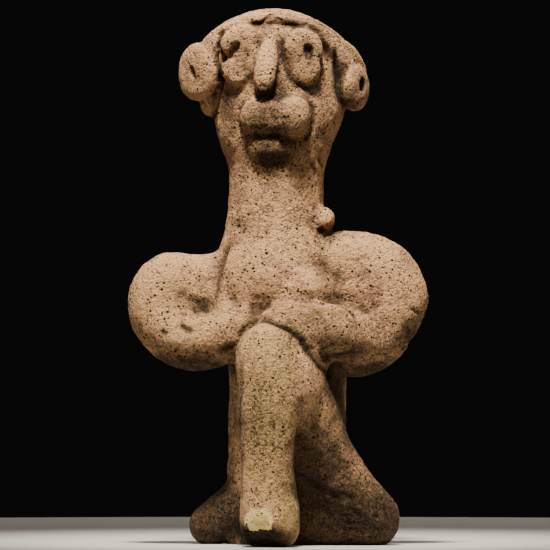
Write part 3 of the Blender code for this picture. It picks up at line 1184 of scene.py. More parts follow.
@dataclass(frozen=True)
class Ageing:
    """How the skin wears, takes up dirt and takes painted shade where other clay hides it, in millimetres
    where it is a size.

    Attributes:
        break_grain: the size of the lumps on a break.
        wander_grain: how far along a mark it keeps to one way of straying.
        taper: how fast a mark grows from its ends, and its depth there.
        pore_grain: how far apart pores crowd together.
        pore_depth: a pore's depth as a share of its radius.
        pore_skew: how much more common small pores are than large ones.
        crevices: how many rounds of evening out show each size of crevice, and its full depth.
        full_crevice: the sum over those sizes at which a crevice is full.
        occlusion_reach: how far off clay still hides the skin, for the painted shade.
        occlusion_rays: how many ways each place looks for it.
        ray_lift: how far off the skin each way of looking starts.
        ray_spread: how far the ways of looking lean from straight out.
        punch_soil: how far past a punched hole its dirt goes, as a share of its radius, and how strong it is.
        soil_spread: how dirt fades from a mark: its strength at the middle, and where it ends.
        patch_edge: where a patch starts to fade, as a share of its size.
        patch_grain: the size of the lumps on a patch's edge, and how far they reach.
    """

    break_grain: float = 3.0
    wander_grain: float = 3.5
    taper: Pair = (4, 0.25)
    pore_grain: float = 16
    pore_depth: float = 0.9
    pore_skew: float = 2.5
    crevices: tuple[Pair, ...] = ((4, 0.12), (24, 0.5))
    full_crevice: float = 1.4
    occlusion_reach: float = 26
    occlusion_rays: int = 14
    ray_lift: float = 0.25
    ray_spread: float = 0.98
    punch_soil: Pair = (1.3, 0.5)
    soil_spread: Pair = (1.3, 1.2)
    patch_edge: float = 1.35
    patch_grain: Pair = (9.0, 0.22)


AGEING = Ageing()


class Skin:
    """The figure's surface while it is worked, in millimetres."""

    LAYERS = ("hollow", "worn", "occlusion_shade", "dirt")

    def __init__(self, name: str) -> None:
        """Starts an empty skin.

        Args:
            name: the piece's name.
        """
        self.obj = bpy.data.objects.new(name, bpy.data.meshes.new(name))
        bpy.context.scene.collection.objects.link(self.obj)
        self.soil: list[tuple[np.ndarray, float, float]] = []

    @property
    def mesh(self) -> bpy.types.Mesh:
        """The mesh as it is now."""
        return self.obj.data

    def points(self) -> np.ndarray:
        """A row of x, y and z for each vertex.

        Returns:
            The points, in millimetres.
        """
        values = np.empty(len(self.mesh.vertices) * 3, np.float32)
        self.mesh.vertices.foreach_get("co", values)
        return values.reshape(-1, 3).astype(float)

    def set_points(self, points: np.ndarray) -> None:
        """Moves the vertices to these places."""
        self.mesh.vertices.foreach_set("co", points.astype(np.float32).ravel())
        self.mesh.update()

    def normals(self) -> np.ndarray:
        """The outward direction at each vertex.

        Returns:
            The directions, each of length 1.
        """
        values = np.empty(len(self.mesh.vertices) * 3, np.float32)
        self.mesh.vertex_normals.foreach_get("vector", values)
        return values.reshape(-1, 3).astype(float)

    def edges(self) -> np.ndarray:
        """The two vertices of each edge.

        Returns:
            A row of two vertex numbers for each edge.
        """
        values = np.empty(len(self.mesh.edges) * 2, np.int32)
        self.mesh.edges.foreach_get("vertices", values)
        return values.reshape(-1, 2)

    def relaxed(self, values: np.ndarray, rounds: int) -> np.ndarray:
        """Vertex values evened out over the skin.

        Args:
            values: one row for each vertex.
            rounds: how many times each vertex takes on the mean of its neighbours.

        Returns:
            The evened values.
        """
        ends = self.edges()
        here = np.concatenate([ends[:, 0], ends[:, 1]])
        there = np.concatenate([ends[:, 1], ends[:, 0]])
        count = np.maximum(np.bincount(here, minlength=len(values)), 1)
        columns = values.reshape(len(values), -1).copy()
        for _ in range(rounds):
            for column in range(columns.shape[1]):
                summed = np.bincount(here, weights=columns[there, column], minlength=len(values))
                columns[:, column] = (columns[:, column] + summed / count) / 2
        return columns.reshape(values.shape)

    def add(self, masses: Iterable[Mass]) -> None:
        """Presses more clay on to the skin, without working it in yet.

        Args:
            masses: the clay.
        """
        whole = bmesh.new()
        whole.from_mesh(self.mesh)
        for mass in masses:
            bm = bmesh.new()
            mass.add_to(bm)
            bmesh.ops.remove_doubles(bm, verts=bm.verts, dist=WELD_TOLERANCE)
            bmesh.ops.recalc_face_normals(bm, faces=bm.faces)
            shell = bpy.data.meshes.new("shell")
            bm.to_mesh(shell)
            bm.free()
            whole.from_mesh(shell)
            bpy.data.meshes.remove(shell)
        whole.to_mesh(self.mesh)
        whole.free()

    def apply(self) -> None:
        """Makes the modifiers part of the mesh."""
        mesh = evaluated_mesh(self.obj)
        self.obj.modifiers.clear()
        old, self.obj.data = self.obj.data, mesh
        bpy.data.meshes.remove(old)

    def fuse(self, voxel: float, softening: int) -> None:
        """Works overlapping shells into one even skin.

        Args:
            voxel: the skin's fineness.
            softening: how many rounds its seams are softened for.
        """
        remesh = self.obj.modifiers.new("fuse", "REMESH")
        remesh.mode = "VOXEL"
        remesh.voxel_size = voxel
        soften = self.obj.modifiers.new("soften", "SMOOTH")
        soften.factor = 0.5
        soften.iterations = softening
        self.apply()

    def thin(self, triangles: int) -> None:
        """Thins the mesh to at most this many triangles, keeping most where it bends most.

        Args:
            triangles: the most that may be left.
        """
        self.obj.modifiers.new("triangles", "TRIANGULATE")
        self.apply()
        coarsen = self.obj.modifiers.new("coarsen", "DECIMATE")
        coarsen.ratio = min(1.0, triangles / len(self.mesh.polygons))
        self.apply()

    def tree(self) -> BVHTree:
        """The skin as something that a ray can meet.

        Returns:
            The tree.
        """
        return BVHTree.FromPolygons(
            [vert.co for vert in self.mesh.vertices], [face.vertices for face in self.mesh.polygons]
        )

    def flatten_underside(self) -> None:
        """Presses what is below the ground flat against it."""
        points = self.points()
        points[:, 2] = np.maximum(points[:, 2], 0)
        self.set_points(points)

    def punch(self, stick: Pellet) -> None:
        """Presses a stick's rounded end into the skin along the stick's own +Y.

        Args:
            stick: the stick.
        """
        points = self.points()
        matrix = np.array(stick.matrix())
        inverse = np.linalg.inv(matrix)
        local = points @ inverse[:3, :3].T + inverse[:3, 3]
        inside = (local**2).sum(axis=1) < 1
        local[inside, 1] = np.sqrt(np.maximum(1 - local[inside, 0] ** 2 - local[inside, 2] ** 2, 0))
        points[inside] = local[inside] @ matrix[:3, :3].T + matrix[:3, 3]
        self.set_points(points)
        spread, strength = AGEING.punch_soil
        self.soil.append((np.array([matrix[:3, 3]]), max(stick.half[0], stick.half[2]) * spread, strength))

    def flatten(self, facet: Facet, grain: Graininess) -> None:
        """Takes away what stands out past a facet.

        Args:
            facet: the facet.
            grain: the unevenness that it takes up.
        """
        points = self.points()
        out = np.array(Vector(facet.out).normalized())
        offset = points - np.array(facet.centre)
        height = offset @ out
        uneven = facet.rough * grain.octaves(points, AGEING.break_grain, 2)
        near = np.linalg.norm(offset - height[:, None] * out, axis=1) < facet.reach
        past = near & (height > uneven)
        points[past] -= (height - uneven)[past, None] * out
        self.set_points(points)

    def traced(self, mark: Mark, tree: BVHTree, spacing: float = 0.5) -> np.ndarray:
        """The places on the skin that a mark runs through, with how far along it each is.

        Args:
            mark: the mark.
            tree: the skin as it was before any mark.
            spacing: how far apart the places are.

        Returns:
            Rows of x, y, z and the share of the way along.
        """
        path = flowing(mark.path, MARK_STEPS)
        steps = np.linalg.norm(np.diff(path, axis=0), axis=1)
        along = np.concatenate([[0], np.cumsum(steps)])
        wanted = np.linspace(0, along[-1], max(int(along[-1] / spacing), 2))
        across = np.interp(wanted, along, path[:, 0])
        up = np.interp(wanted, along, path[:, 1])
        found = []
        for index in range(len(wanted)):
            place, *_ = tree.ray_cast(mark.side.start(across[index], up[index]), Vector(mark.side.value))
            if place is not None:
                found.append((*place, wanted[index] / along[-1]))
        return np.array(found)

    def scratch(self, marks: Iterable[Mark], grain: Graininess) -> None:
        """Makes marks in the skin.

        Args:
            marks: the marks, which are made in this order.
            grain: the unevenness that it takes up.
        """
        tree = self.tree()
        points = self.points()
        normals = self.relaxed(self.normals(), MARK_ROUNDS)
        moved = points.copy()
        for mark in marks:
            trace = self.traced(mark, tree)
            if len(trace) == 0:
                log.warning("a mark at %s misses the skin", mark.path[0])
                continue
            low = trace[:, :3].min(axis=0) - mark.reach - mark.wander
            high = trace[:, :3].max(axis=0) + mark.reach + mark.wander
            near = np.nonzero(np.all((points > low) & (points < high), axis=1))[0]
            if len(near) == 0:
                continue
            strayed = points[near] + mark.wander * np.stack(
                [grain.at(points[near] + shift, AGEING.wander_grain) for shift in STRAY_SHIFTS], axis=1
            )
            apart = np.full(len(near), np.inf)
            share = np.zeros(len(near))
            for row in trace:
                distance = np.linalg.norm(strayed - row[:3], axis=1)
                closer = distance < apart
                apart[closer] = distance[closer]
                share[closer] = row[3]
            edge = np.clip(1 - apart / mark.reach, 0, 1)
            if mark.profile is Profile.ROUND:
                shape = edge * edge * (3 - 2 * edge)
            else:
                shape = edge ** (1 / mark.profile.value)
            if mark.tapered:
                growth, tip = AGEING.taper
                shape = shape * np.clip(growth * np.minimum(share, 1 - share) + tip, 0, 1)
            moved[near] -= (mark.depth * shape)[:, None] * normals[near]
            if mark.soil:
                self.soil.append((trace[:, :3], mark.reach, mark.soil))
        self.set_points(moved)

    def roughen(self, lumps: Sequence[Pair], grain: Graininess) -> None:
        """Makes the skin uneven.

        Args:
            lumps: pairs of how wide and how high each kind of lump is.
            grain: where they are.
        """
        points = self.points()
        normals = self.relaxed(self.normals(), LUMP_ROUNDS)
        height = sum(
            high * grain.at(points + LUMP_SHIFT * index, wide) for index, (wide, high) in enumerate(lumps)
        )
        self.set_points(points + height[:, None] * normals)

    def pit(self, count: int, sizes: Pair, grain: Graininess, crowd: float) -> None:
        """Opens pores where grit fell out or straw burned away.

        Args:
            count: how many places are tried.
            sizes: the smallest and largest radius.
            grain: where they crowd.
            crowd: how much they crowd, from 0 to 1.
        """
        points = self.points()
        normals = self.normals()
        random = np.random.default_rng(SEED)
        chosen = random.integers(0, len(points), count)
        radii = sizes[0] + (sizes[1] - sizes[0]) * random.random(count) ** AGEING.pore_skew
        luck = random.random(count)
        kept = luck < 1 - crowd + crowd * (grain.at(points[chosen], AGEING.pore_grain) + 0.15)
        tree = KDTree(len(points))
        for index, point in enumerate(points):
            tree.insert(point, index)
        tree.balance()
        moved = points.copy()
        for vert, radius in zip(chosen[kept], radii[kept]):
            for _, other, distance in tree.find_range(points[vert], radius):
                shape = 1 - (distance / radius) ** 2
                moved[other] -= AGEING.pore_depth * radius * shape * normals[vert]
        self.set_points(moved)

    def crevices(self) -> np.ndarray:
        """How far each vertex lies below its surroundings, from -1 on an edge to 1 in a crack.

        Returns:
            One number for each vertex.
        """
        points = self.points()
        normals = self.normals()
        total = np.zeros(len(points))
        for rounds, full in AGEING.crevices:
            below = ((self.relaxed(points, rounds) - points) * normals).sum(axis=1)
            total += np.clip(below / full, -1, 1)
        return np.clip(self.relaxed(total, CREVICE_ROUNDS) / AGEING.full_crevice, -1, 1)

    def occlusion_shade(self, reach: float, rays: int) -> np.ndarray:
        """How much of what is round each vertex other clay hides, from 0 to 1, which the colour takes as
        painted shade.

        Args:
            reach: how far off clay still shelters it.
            rays: how many ways each vertex looks.

        Returns:
            One number for each vertex.
        """
        tree = self.tree()
        points = self.points()
        normals = self.normals()
        spread = np.random.default_rng(SEED).normal(size=(rays, 3))
        spread /= np.linalg.norm(spread, axis=1)[:, None]
        hidden = np.zeros(len(points))
        starts = (points + AGEING.ray_lift * normals).tolist()
        for way in spread:
            ahead = normals + AGEING.ray_spread * way
            ahead /= np.linalg.norm(ahead, axis=1)[:, None]
            for index, (start, direction) in enumerate(zip(starts, ahead.tolist())):
                distance = tree.ray_cast(start, direction, reach)[3]
                if distance is not None:
                    hidden[index] += 1 - distance / reach
        return self.relaxed(hidden / rays, OCCLUSION_ROUNDS)

    def store(self, name: str, values: np.ndarray) -> None:
        """Keeps a number for each vertex as an attribute."""
        layer = self.mesh.attributes.new(name, "FLOAT", "POINT")
        layer.data.foreach_set("value", values.astype(np.float32))

    def paint(self, patches: Iterable[Patch], grain: Graininess) -> None:
        """Works out where the skin is hollow, worn, dirty, hidden by other clay and tinted; the hidden places
        are painted shade, and the hollows and the brown tint are partly painted shade.

        Args:
            patches: the patches of colour.
            grain: the unevenness that it takes up.
        """
        points = self.points()
        crevice = self.crevices()
        self.store("hollow", np.clip(crevice, 0, 1))
        self.store("worn", np.clip(-crevice, 0, 1))
        # painted shade: how much other clay hides each place
        self.store("occlusion_shade", self.occlusion_shade(AGEING.occlusion_reach, AGEING.occlusion_rays))
        dirt = np.zeros(len(points))
        full, end = AGEING.soil_spread
        for trace, reach, strength in self.soil:
            low = trace.min(axis=0) - 2 * reach
            high = trace.max(axis=0) + 2 * reach
            near = np.nonzero(np.all((points > low) & (points < high), axis=1))[0]
            apart = np.full(len(near), np.inf)
            for place in trace:
                apart = np.minimum(apart, np.linalg.norm(points[near] - place, axis=1))
            dirt[near] = np.maximum(dirt[near], strength * np.clip(full - apart / (end * reach), 0, 1))
        self.store("dirt", dirt)
        size, reach = AGEING.patch_grain
        uneven = reach * grain.octaves(points, size, 3)
        totals = {tint: np.zeros(len(points)) for tint in Tint}
        for patch in patches:
            offset = (points - np.array(patch.centre)) / np.array(patch.half)
            edge = np.clip(AGEING.patch_edge - np.linalg.norm(offset, axis=1) + uneven, 0, 1)
            totals[patch.tint] = np.maximum(totals[patch.tint], patch.strength * edge)
        for tint, values in totals.items():
            self.store(tint.value, values)


@dataclass(frozen=True)
class Placement:
    """Where the maker's millimetres lie in the frame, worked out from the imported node's box.

    Attributes:
        low: the node's lowest corner.
        high: the node's highest corner.
    """

    low: Vector
    high: Vector

    def matrix(self, points: np.ndarray) -> Matrix:
        """The move that makes the smooth skin as tall as the node and puts it in the node's middle.

        Args:
            points: the skin's vertices in millimetres.

        Returns:
            The matrix, from millimetres to metres.
        """
        scale = (self.high.z - self.low.z) / float(points[:, 2].max())
        middle = (points.min(axis=0) + points.max(axis=0)) / 2
        target = (self.low + self.high) / 2
        move = Matrix.Translation((target.x - scale * middle[0], target.y - scale * middle[1], self.low.z))
        return move @ Matrix.Scale(scale, 4)


# --------------------------------------------------------------------------------------------------
# Finishes
# --------------------------------------------------------------------------------------------------


def linear(colour: str) -> tuple[float, float, float, float]:
    """An sRGB hex colour as Blender's linear one.

    Args:
        colour: the colour as # and six hex digits.

    Returns:
        Red, green, blue and alpha.
    """
    parts = [int(colour[start : start + 2], 16) / 255 for start in (1, 3, 5)]
    curved = [part / 12.92 if part <= 0.04045 else ((part + 0.055) / 1.055) ** 2.4 for part in parts]
    return (*curved, 1.0)


def add_node(
    tree: bpy.types.NodeTree, kind: str, inputs: dict | None = None, **settings: object
) -> bpy.types.Node:
    """Adds a node.

    Args:
        tree: where it goes.
        kind: its type.
        inputs: what each input is, a socket to link or a value, by name or number.
        settings: its other properties.

    Returns:
        The node.
    """
    node = tree.nodes.new(kind)
    for name, value in settings.items():
        setattr(node, name, value)
    for key, value in (inputs or {}).items():
        if isinstance(value, bpy.types.NodeSocket):
            tree.links.new(value, node.inputs[key])
        else:
            node.inputs[key].default_value = value
    return node


class Blend(Enum):
    """How a colour meets what is under it, as the node's own name for it."""

    OVER = "MIX"
    DARKEN = "MULTIPLY"


Mix = tuple[tuple[str, float], ...]


@dataclass(frozen=True)
class Layer:
    """Where a colour sets in, as a sum of signals goes from low to high.

    Attributes:
        mix: each signal's name and its weight in the sum.
        low: the sum at which the layer starts.
        high: the sum at which it is full.
        most: how strong it is when full.
        within: a signal that scales it, if any.
        colour: its colour, where it is laid.
        blend: how the colour meets what is under it.
        gentle: whether it sets in gently at both ends.
    """

    mix: Mix
    low: float = 0.0
    high: float = 1.0
    most: float = 1.0
    within: str = ""
    colour: str = ""
    blend: Blend = Blend.OVER
    gentle: bool = True


class ClayTree:
    """A material's node tree, with the named signals that its layers are mixed from."""

    def __init__(self, tree: bpy.types.NodeTree) -> None:
        """Starts without any signal."""
        self.tree = tree
        self.signals: dict[str, bpy.types.NodeSocket] = {}

    def summed(self, mix: Mix) -> bpy.types.NodeSocket | float:
        """Adds signals up.

        Args:
            mix: each signal's name and weight.

        Returns:
            The sum's socket.
        """
        total = 0.0
        for name, weight in mix:
            inputs = {0: self.signals[name], 1: weight, 2: total}
            total = add_node(self.tree, "ShaderNodeMath", inputs, operation="MULTIPLY_ADD").outputs[0]
        return total

    def strength(self, layer: Layer) -> bpy.types.NodeSocket:
        """Works out how strong a layer is everywhere.

        Args:
            layer: the layer.

        Returns:
            The strength's socket.
        """
        inputs = {"Value": self.summed(layer.mix), "From Min": layer.low, "From Max": layer.high}
        inputs["To Max"] = layer.most
        kind = "SMOOTHSTEP" if layer.gentle else "LINEAR"
        ramp = add_node(self.tree, "ShaderNodeMapRange", inputs, interpolation_type=kind)
        strength = ramp.outputs["Result"]
        if layer.within:
            inputs = {0: strength, 1: self.signals[layer.within]}
            strength = add_node(self.tree, "ShaderNodeMath", inputs, operation="MULTIPLY").outputs[0]
        return strength


@dataclass(frozen=True)
class Terracotta:
    """Terracotta: earthenware clay shaped by hand and fired in an open kiln, never glazed.

    To the eye it is dull and sandy, a pinkish tan under a cream crust that has flaked off in patches. It is
    full of small dark pores where straw and grit burned or fell out, and brown soil stays in every crease.
    Painted shade darkens it where other clay hides it, in its hollows and in its shaded patches.
    Sand in such clay is commonly some tenths of a millimetre wide and most pores are under 1 mm. Both are too
    fine to show, so the sand is drawn 1 mm wide and the pores up to 1.5 mm.

    Attributes:
        clouds: each noise's name, the size of its lumps in millimetres, its detail and its roughness.
        grit_mm: how wide a grain of sand is drawn.
        pores: how far apart each kind of pore is in millimetres, and its largest radius as a share of that.
        bump_mm: how deep the grain is.
        turn: how far the patterns are turned, so that none lines up with the figure.
    """

    clay: str = "#a97e5c"
    rose: str = "#c38e6e"
    cream: str = "#eeba84"
    pale: str = "#f0c08a"
    ochre: str = "#c0a65c"
    brown: str = "#5b483a"
    soot: str = "#7c6c5c"
    chip: str = "#ffe18e"
    # the colour that multiplies in soil stains and painted shade
    soil_and_shade_wash: str = "#6c6d66"
    # grime for the rough grain, and for the hollows, where it is partly painted shade
    grime_and_shade: str = "#382a20"
    soil: str = "#1d1108"
    roughness: float = 0.9
    specular: float = 0.25
    clouds: tuple[tuple[str, float, float, float], ...] = (
        ("mottle", 14.0, 5, 0.6),
        ("crust", 10.0, 8, 0.68),
        ("streak", 5.0, 6, 0.65),
        ("speck", 2.0, 4, 0.7),
        ("grains", 1.0, 2, 0.7),
        ("crowd", 12.0, 3, 0.6),
    )
    grit_mm: float = 1.0
    pores: tuple[Pair, ...] = ((1.9, 0.27), (2.8, 0.22), (4.2, 0.18))
    bump_mm: float = 1.6
    turn: Triple = (0.5, 0.7, 0.3)

    def layers(self) -> list[Layer]:
        """The colours that lie on the bare clay.

        Returns:
            The layers, from the first laid to the last.
        """
        ragged = (("speck", 0.4), ("sand", 0.6), ("rough", -0.05))
        return [
            Layer((("mottle", 1), ("pink", 0.22)), 0.46, 0.56, colour=self.rose),
            Layer((("crust", 1), ("cream", 0.13), ("pink", -0.06)), 0.495, 0.525, 0.9, colour=self.cream),
            Layer((("streak", 1), ("ochre", 0.36)), 0.56, 0.76, 0.9, colour=self.ochre),
            Layer((("crust", 1), ("soot", 0.35)), 0.62, 0.8, 0.7, colour=self.soot),
            Layer((("speck", 1),), 0.52, 0.64, 0.45, colour=self.brown),
            Layer((("sand", 1),), 0.62, 0.7, 0.8, colour=self.pale),
            Layer(ragged, 0.5, 0.44, 0.75, colour=self.brown),
            Layer(ragged, 0.44, 0.39, 0.8, colour=self.grime_and_shade),
            Layer((("worn", 1),), most=0.35, colour=self.cream, gentle=False),
            # painted shade where other clay hides the skin and in the shaded brown patches, multiplied in with
            # their soil stains
            Layer((("stained_and_shaded", 1),), colour=self.soil_and_shade_wash, blend=Blend.DARKEN, gentle=False),
            Layer((("speck", 1),), 0.56, 0.66, 0.5, "stained_and_shaded", self.clay),
            # grime in the hollows, partly soil and partly painted shade
            Layer((("speck", 1),), 0.25, 0.6, 0.8, "hollow", self.grime_and_shade),
            Layer((("streak", 1),), 0.2, 0.5, 0.9, "dirt", self.soil),
            Layer((("streak", 1), ("chip", 0.7)), 0.9, 0.96, colour=self.chip),
            Layer((("pitted", 1),), colour=self.soil, gentle=False),
        ]

    def add_signals(self, clay: ClayTree, place: bpy.types.NodeSocket) -> None:
        """Adds the noises, the skin's attributes, and the mask of brown soil stains and painted shade where
        its patches are brown and where other clay hides it.

        Args:
            clay: where they go.
            place: the socket of the place on the object.
        """
        tree, signals = clay.tree, clay.signals
        for name, size_mm, detail, roughness in self.clouds:
            inputs = {"Vector": place, "Scale": 1 / (size_mm * MM), "Detail": detail, "Roughness": roughness}
            signals[name] = add_node(tree, "ShaderNodeTexNoise", inputs).outputs["Fac"]
        for name in (*(tint.value for tint in Tint), *Skin.LAYERS):
            signals[name] = add_node(tree, "ShaderNodeAttribute", attribute_name=name).outputs["Fac"]
        grit = add_node(tree, "ShaderNodeTexVoronoi", {"Vector": place, "Scale": 1 / (self.grit_mm * MM)})
        signals["grit"] = add_node(tree, "ShaderNodeSeparateColor", {0: grit.outputs["Color"]}).outputs[0]
        signals["sand"] = clay.summed((("grains", 1), ("grit", 0.2)))
        # painted shade where other clay hides the skin, broken up by a noise, joined with the brown patches'
        # soil stains and painted shade
        signals["shade_breakup"] = clay.strength(Layer((("streak", 1),), 0.1, 0.5))
        patch_stain_and_shade = clay.strength(Layer((("streak", 1), ("brown", 0.8)), 0.55, 1.15))
        occluded_shade = clay.strength(Layer((("occlusion_shade", 1),), 0.1, 0.4, within="shade_breakup"))
        stained_and_shaded = add_node(tree, "ShaderNodeMath", {0: patch_stain_and_shade, 1: occluded_shade}, operation="MAXIMUM")
        signals["stained_and_shaded"] = stained_and_shaded.outputs[0]

    def add_pores(self, clay: ClayTree, place: bpy.types.NodeSocket) -> None:
        """Adds round pores of several sizes, each size in some of the cells of its own Voronoi pattern.

        Args:
            clay: where they go.
            place: the socket of the place on the object.
        """
        tree, signals = clay.tree, clay.signals
        pitted = 0.0
        for spacing, widest in self.pores:
            cells = add_node(tree, "ShaderNodeTexVoronoi", {"Vector": place, "Scale": 1 / (spacing * MM)})
            chance = add_node(tree, "ShaderNodeSeparateColor", {0: cells.outputs["Color"]})
            signals["chance"] = chance.outputs[0]
            signals["distance"] = cells.outputs["Distance"]
            signals["radius"] = clay.strength(
                Layer((("chance", 1), ("crowd", 1), ("pores", 0.34)), 1.15, 1.35, widest)
            )
            pore = clay.strength(Layer((("radius", 1), ("distance", -1)), 0.0, 0.05))
            pitted = add_node(tree, "ShaderNodeMath", {0: pitted, 1: pore}, operation="MAXIMUM").outputs[0]
        signals["pitted"] = pitted

    def height(self, clay: ClayTree) -> bpy.types.NodeSocket:
        """Works out the grain's height.

        Args:
            clay: the tree, with its signals.

        Returns:
            The height's socket.
        """
        relief = clay.summed((("speck", 1.4), ("sand", 0.6)))
        rough = add_node(clay.tree, "ShaderNodeMath", {0: clay.signals["rough"], 1: 0.9}, operation="ADD")
        inputs = {0: relief, 1: rough.outputs[0]}
        relief = add_node(clay.tree, "ShaderNodeMath", inputs, operation="MULTIPLY").outputs[0]
        inputs = {0: relief, 1: clay.signals["pitted"]}
        return add_node(clay.tree, "ShaderNodeMath", inputs, operation="SUBTRACT").outputs[0]

    def material(self) -> bpy.types.Material:
        """Makes the material.

        Returns:
            The material.
        """
        material = bpy.data.materials.new("terracotta")
        material.use_nodes = True
        tree = material.node_tree
        clay = ClayTree(tree)
        inputs = {"Vector": add_node(tree, "ShaderNodeTexCoord").outputs["Object"], "Rotation": self.turn}
        place = add_node(tree, "ShaderNodeMapping", inputs).outputs["Vector"]
        self.add_signals(clay, place)
        self.add_pores(clay, place)
        colour = linear(self.clay)
        for layer in self.layers():
            inputs = {0: clay.strength(layer), 6: colour, 7: linear(layer.colour)}
            mixed = add_node(tree, "ShaderNodeMix", inputs, data_type="RGBA", blend_type=layer.blend.value)
            colour = mixed.outputs[2]
        shader = tree.nodes["Principled BSDF"]
        tree.links.new(colour, shader.inputs["Base Color"])
        shader.inputs["Roughness"].default_value = self.roughness
        shader.inputs["Metallic"].default_value = 0.0
        shader.inputs["Specular IOR Level"].default_value = self.specular
        inputs = {"Height": self.height(clay), "Strength": 1.0, "Distance": self.bump_mm * MM}
        bump = add_node(tree, "ShaderNodeBump", inputs)
        tree.links.new(bump.outputs["Normal"], shader.inputs["Normal"])
        return material


@dataclass(frozen=True)
class PaleFloor:
    """Matt paper: a plain pale ground with no pattern of its own."""

    colour: str = "#cfccc6"
    roughness: float = 0.95

    def material(self) -> bpy.types.Material:
        """Makes the material.

        Returns:
            The material.
        """
        material = bpy.data.materials.new("pale_floor")
        material.use_nodes = True
        shader = material.node_tree.nodes["Principled BSDF"]
        shader.inputs["Base Color"].default_value = linear(self.colour)
        shader.inputs["Roughness"].default_value = self.roughness
        return material


# --------------------------------------------------------------------------------------------------
# The whole figure and the studio
# --------------------------------------------------------------------------------------------------


@dataclass(frozen=True)
class KneelingFigure:
    """The figure: its parts in the order that they were put on, and how finely its skin is worked."""

    parts: tuple[SubAssembly, ...] = (
        Trunk(),
        RaisedLeg(),
        KneelingLeg(),
        RightArm(),
        LeftArm(),
        Cap(),
        RIGHT_EAR,
        LEFT_EAR,
        RightEye(),
        LeftEye(),
        Nose(),
        Mouth(),
        NeckPellet(),
    )
    body_voxel: float = 1.4
    body_softening: int = 22
    swelling_voxel: float = 0.8
    swelling_softening: int = 7
    feature_voxel: float = 0.6
    feature_softening: int = 7
    skin_voxel: float = 0.5
    skin_softening: int = 1
    most_triangles: int = 192000
    pores: int = 700
    pore_radii: Pair = (0.5, 0.9)
    pore_crowding: float = 0.6
    lumps: tuple[Pair, ...] = ((26, 0.25), (11, 0.3), (5, 0.24), (2.6, 0.15), (1.4, 0.08))
    finish: Terracotta = Terracotta()

    def build(self, placement: Placement) -> bpy.types.Object:
        """Builds and dresses the figure.

        Args:
            placement: where it goes in the frame.

        Returns:
            The finished piece.
        """
        grain = Graininess()
        skin = Skin("kneeling_figure_skin")
        skin.add(mass for part in self.parts for mass in part.masses())
        skin.fuse(self.body_voxel, self.body_softening)
        skin.add(mass for part in self.parts for mass in part.swellings())
        skin.fuse(self.swelling_voxel, self.swelling_softening)
        skin.add(mass for part in self.parts for mass in part.features())
        skin.fuse(self.feature_voxel, self.feature_softening)
        for part in self.parts:
            for facet in part.facets():
                skin.flatten(facet, grain)
        skin.flatten_underside()
        place = placement.matrix(skin.points())
        for part in self.parts:
            for stick in part.punches():
                skin.punch(stick)
        skin.scratch((mark for part in self.parts for mark in part.marks()), grain)
        skin.fuse(self.skin_voxel, self.skin_softening)
        log.info("worked skin: %d faces", len(skin.mesh.polygons))
        skin.roughen(self.lumps, grain)
        skin.pit(self.pores, self.pore_radii, grain, self.pore_crowding)
        skin.flatten_underside()
        skin.thin(self.most_triangles)
        skin.paint([patch for part in self.parts for patch in part.patches()], grain)
        skin.mesh.transform(place)
        skin.mesh.materials.clear()
        skin.mesh.materials.append(self.finish.material())
        skin.mesh.shade_smooth()
        return skin.obj


@dataclass(frozen=True)
class Lamp:
    """A soft lamp that faces the figure.

    Attributes:
        name: its name.
        place: where it hangs.
        size: its width.
        watts: its power.
        cone: the angle of its hood in degrees, which keeps its light off the floor, or 0 for no hood.
        lift: how far above the camera's aim it faces.
        colour: its colour.
        edge: how softly a hood's beam ends.
    """

    name: str
    place: Triple
    size: float
    watts: float
    cone: float = 0.0
    lift: float = 0.0
    colour: str = "#fff7ec"
    edge: float = 0.4

    def build(self, aim: Vector) -> None:
        """Hangs the lamp.

        Args:
            aim: the place that the camera looks at.
        """
        lamp = bpy.data.lights.new(self.name, "SPOT" if self.cone else "AREA")
        if self.cone:
            lamp.shadow_soft_size = self.size / 2
            lamp.spot_size = math.radians(self.cone)
            lamp.spot_blend = self.edge
        else:
            lamp.shape = "DISK"
            lamp.size = self.size
        lamp.energy = self.watts
        lamp.color = linear(self.colour)[:3]
        obj = bpy.data.objects.new(self.name, lamp)
        obj.location = self.place
        target = aim + Vector((0, 0, self.lift))
        obj.rotation_euler = (target - Vector(self.place)).to_track_quat("-Z", "Y").to_euler()
        bpy.context.scene.collection.objects.link(obj)


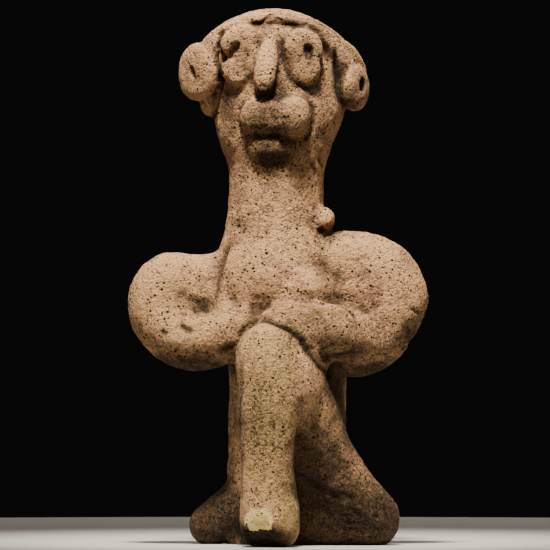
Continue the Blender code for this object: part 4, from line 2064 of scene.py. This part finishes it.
@dataclass(frozen=True)
class Studio:
    """A plain pale floor, soft lights and the camera.

    Attributes:
        lamps: the lights.
        distance: how far the camera stands off.
        rise: the camera's height above what it looks at, as an angle in degrees.
        framed: the width that the picture takes in.
        aim: the place it looks at, as shares of the figure's box.
        sensor_mm: the width of the camera's sensor.
        floor_radius: the floor's radius.
        floor_sides: how many sides the floor has.
        gloom: the colour of the air around, and its strength.
    """

    lamps: tuple[Lamp, ...] = (
        Lamp("key", (-0.05, -0.4, 1.07), 0.16, 106, 19, 0.03),
        Lamp("right_rim", (-1.0, 0.35, 0.75), 0.3, 3, 20),
        Lamp("left_rim", (1.0, 0.35, 0.75), 0.3, 6, 20),
        Lamp("back", (0.2, 1.3, 0.9), 0.8, 6),
        Lamp("front", (0.0, -1.6, 0.5), 0.8, 3.5),
    )
    distance: float = 3.0
    rise: float = -0.9
    framed: float = 0.25557
    aim: Triple = (0.4917, 0.5, 0.5016)
    sensor_mm: float = 36.0
    floor_radius: float = 0.6
    floor_sides: int = 128
    gloom: tuple[str, float] = ("#4a4a4a", 0.05)

    def add_floor(self) -> None:
        """Makes the floor."""
        bm = bmesh.new()
        bmesh.ops.create_circle(bm, cap_ends=True, segments=self.floor_sides, radius=self.floor_radius)
        mesh = bpy.data.meshes.new("floor")
        bm.to_mesh(mesh)
        bm.free()
        mesh.materials.append(PaleFloor().material())
        floor = bpy.data.objects.new("floor", mesh)
        bpy.context.scene.collection.objects.link(floor)

    def add_world(self) -> None:
        """Makes the dim air around."""
        colour, strength = self.gloom
        world = bpy.data.worlds.new("studio")
        world.use_nodes = True
        background = world.node_tree.nodes["Background"]
        background.inputs["Color"].default_value = linear(colour)
        background.inputs["Strength"].default_value = strength
        bpy.context.scene.world = world

    def add_camera(self, aim: Vector) -> None:
        """Makes the camera.

        Args:
            aim: the place that it looks at.
        """
        camera = bpy.data.cameras.new("camera")
        camera.sensor_width = self.sensor_mm
        camera.lens = self.sensor_mm * self.distance / self.framed
        camera.clip_end = 100
        obj = bpy.data.objects.new("camera", camera)
        rise = math.radians(self.rise)
        obj.location = aim + self.distance * Vector((0, -math.cos(rise), math.sin(rise)))
        obj.rotation_euler = (aim - obj.location).to_track_quat("-Z", "Y").to_euler()
        bpy.context.scene.collection.objects.link(obj)
        bpy.context.scene.camera = obj

    def build(self, low: Vector, high: Vector) -> None:
        """Sets up the floor, lights, world and camera.

        Args:
            low: the figure's lowest corner.
            high: the figure's highest corner.
        """
        aim = Vector(low[axis] + self.aim[axis] * (high[axis] - low[axis]) for axis in range(3))
        self.add_floor()
        for lamp in self.lamps:
            lamp.build(aim)
        self.add_world()
        self.add_camera(aim)


def main() -> None:
    """Builds the figure and the studio."""
    logging.basicConfig(level=logging.INFO, format="%(name)s: %(message)s")
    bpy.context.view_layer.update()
    low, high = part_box(NODE)
    figure = KneelingFigure().build(Placement(low, high))
    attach(figure, BODY)
    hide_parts(NODE)
    log.info("%s: %d triangles", figure.name, len(figure.data.polygons))
    Studio().build(low, high)


if __name__ == "__main__":
    main()
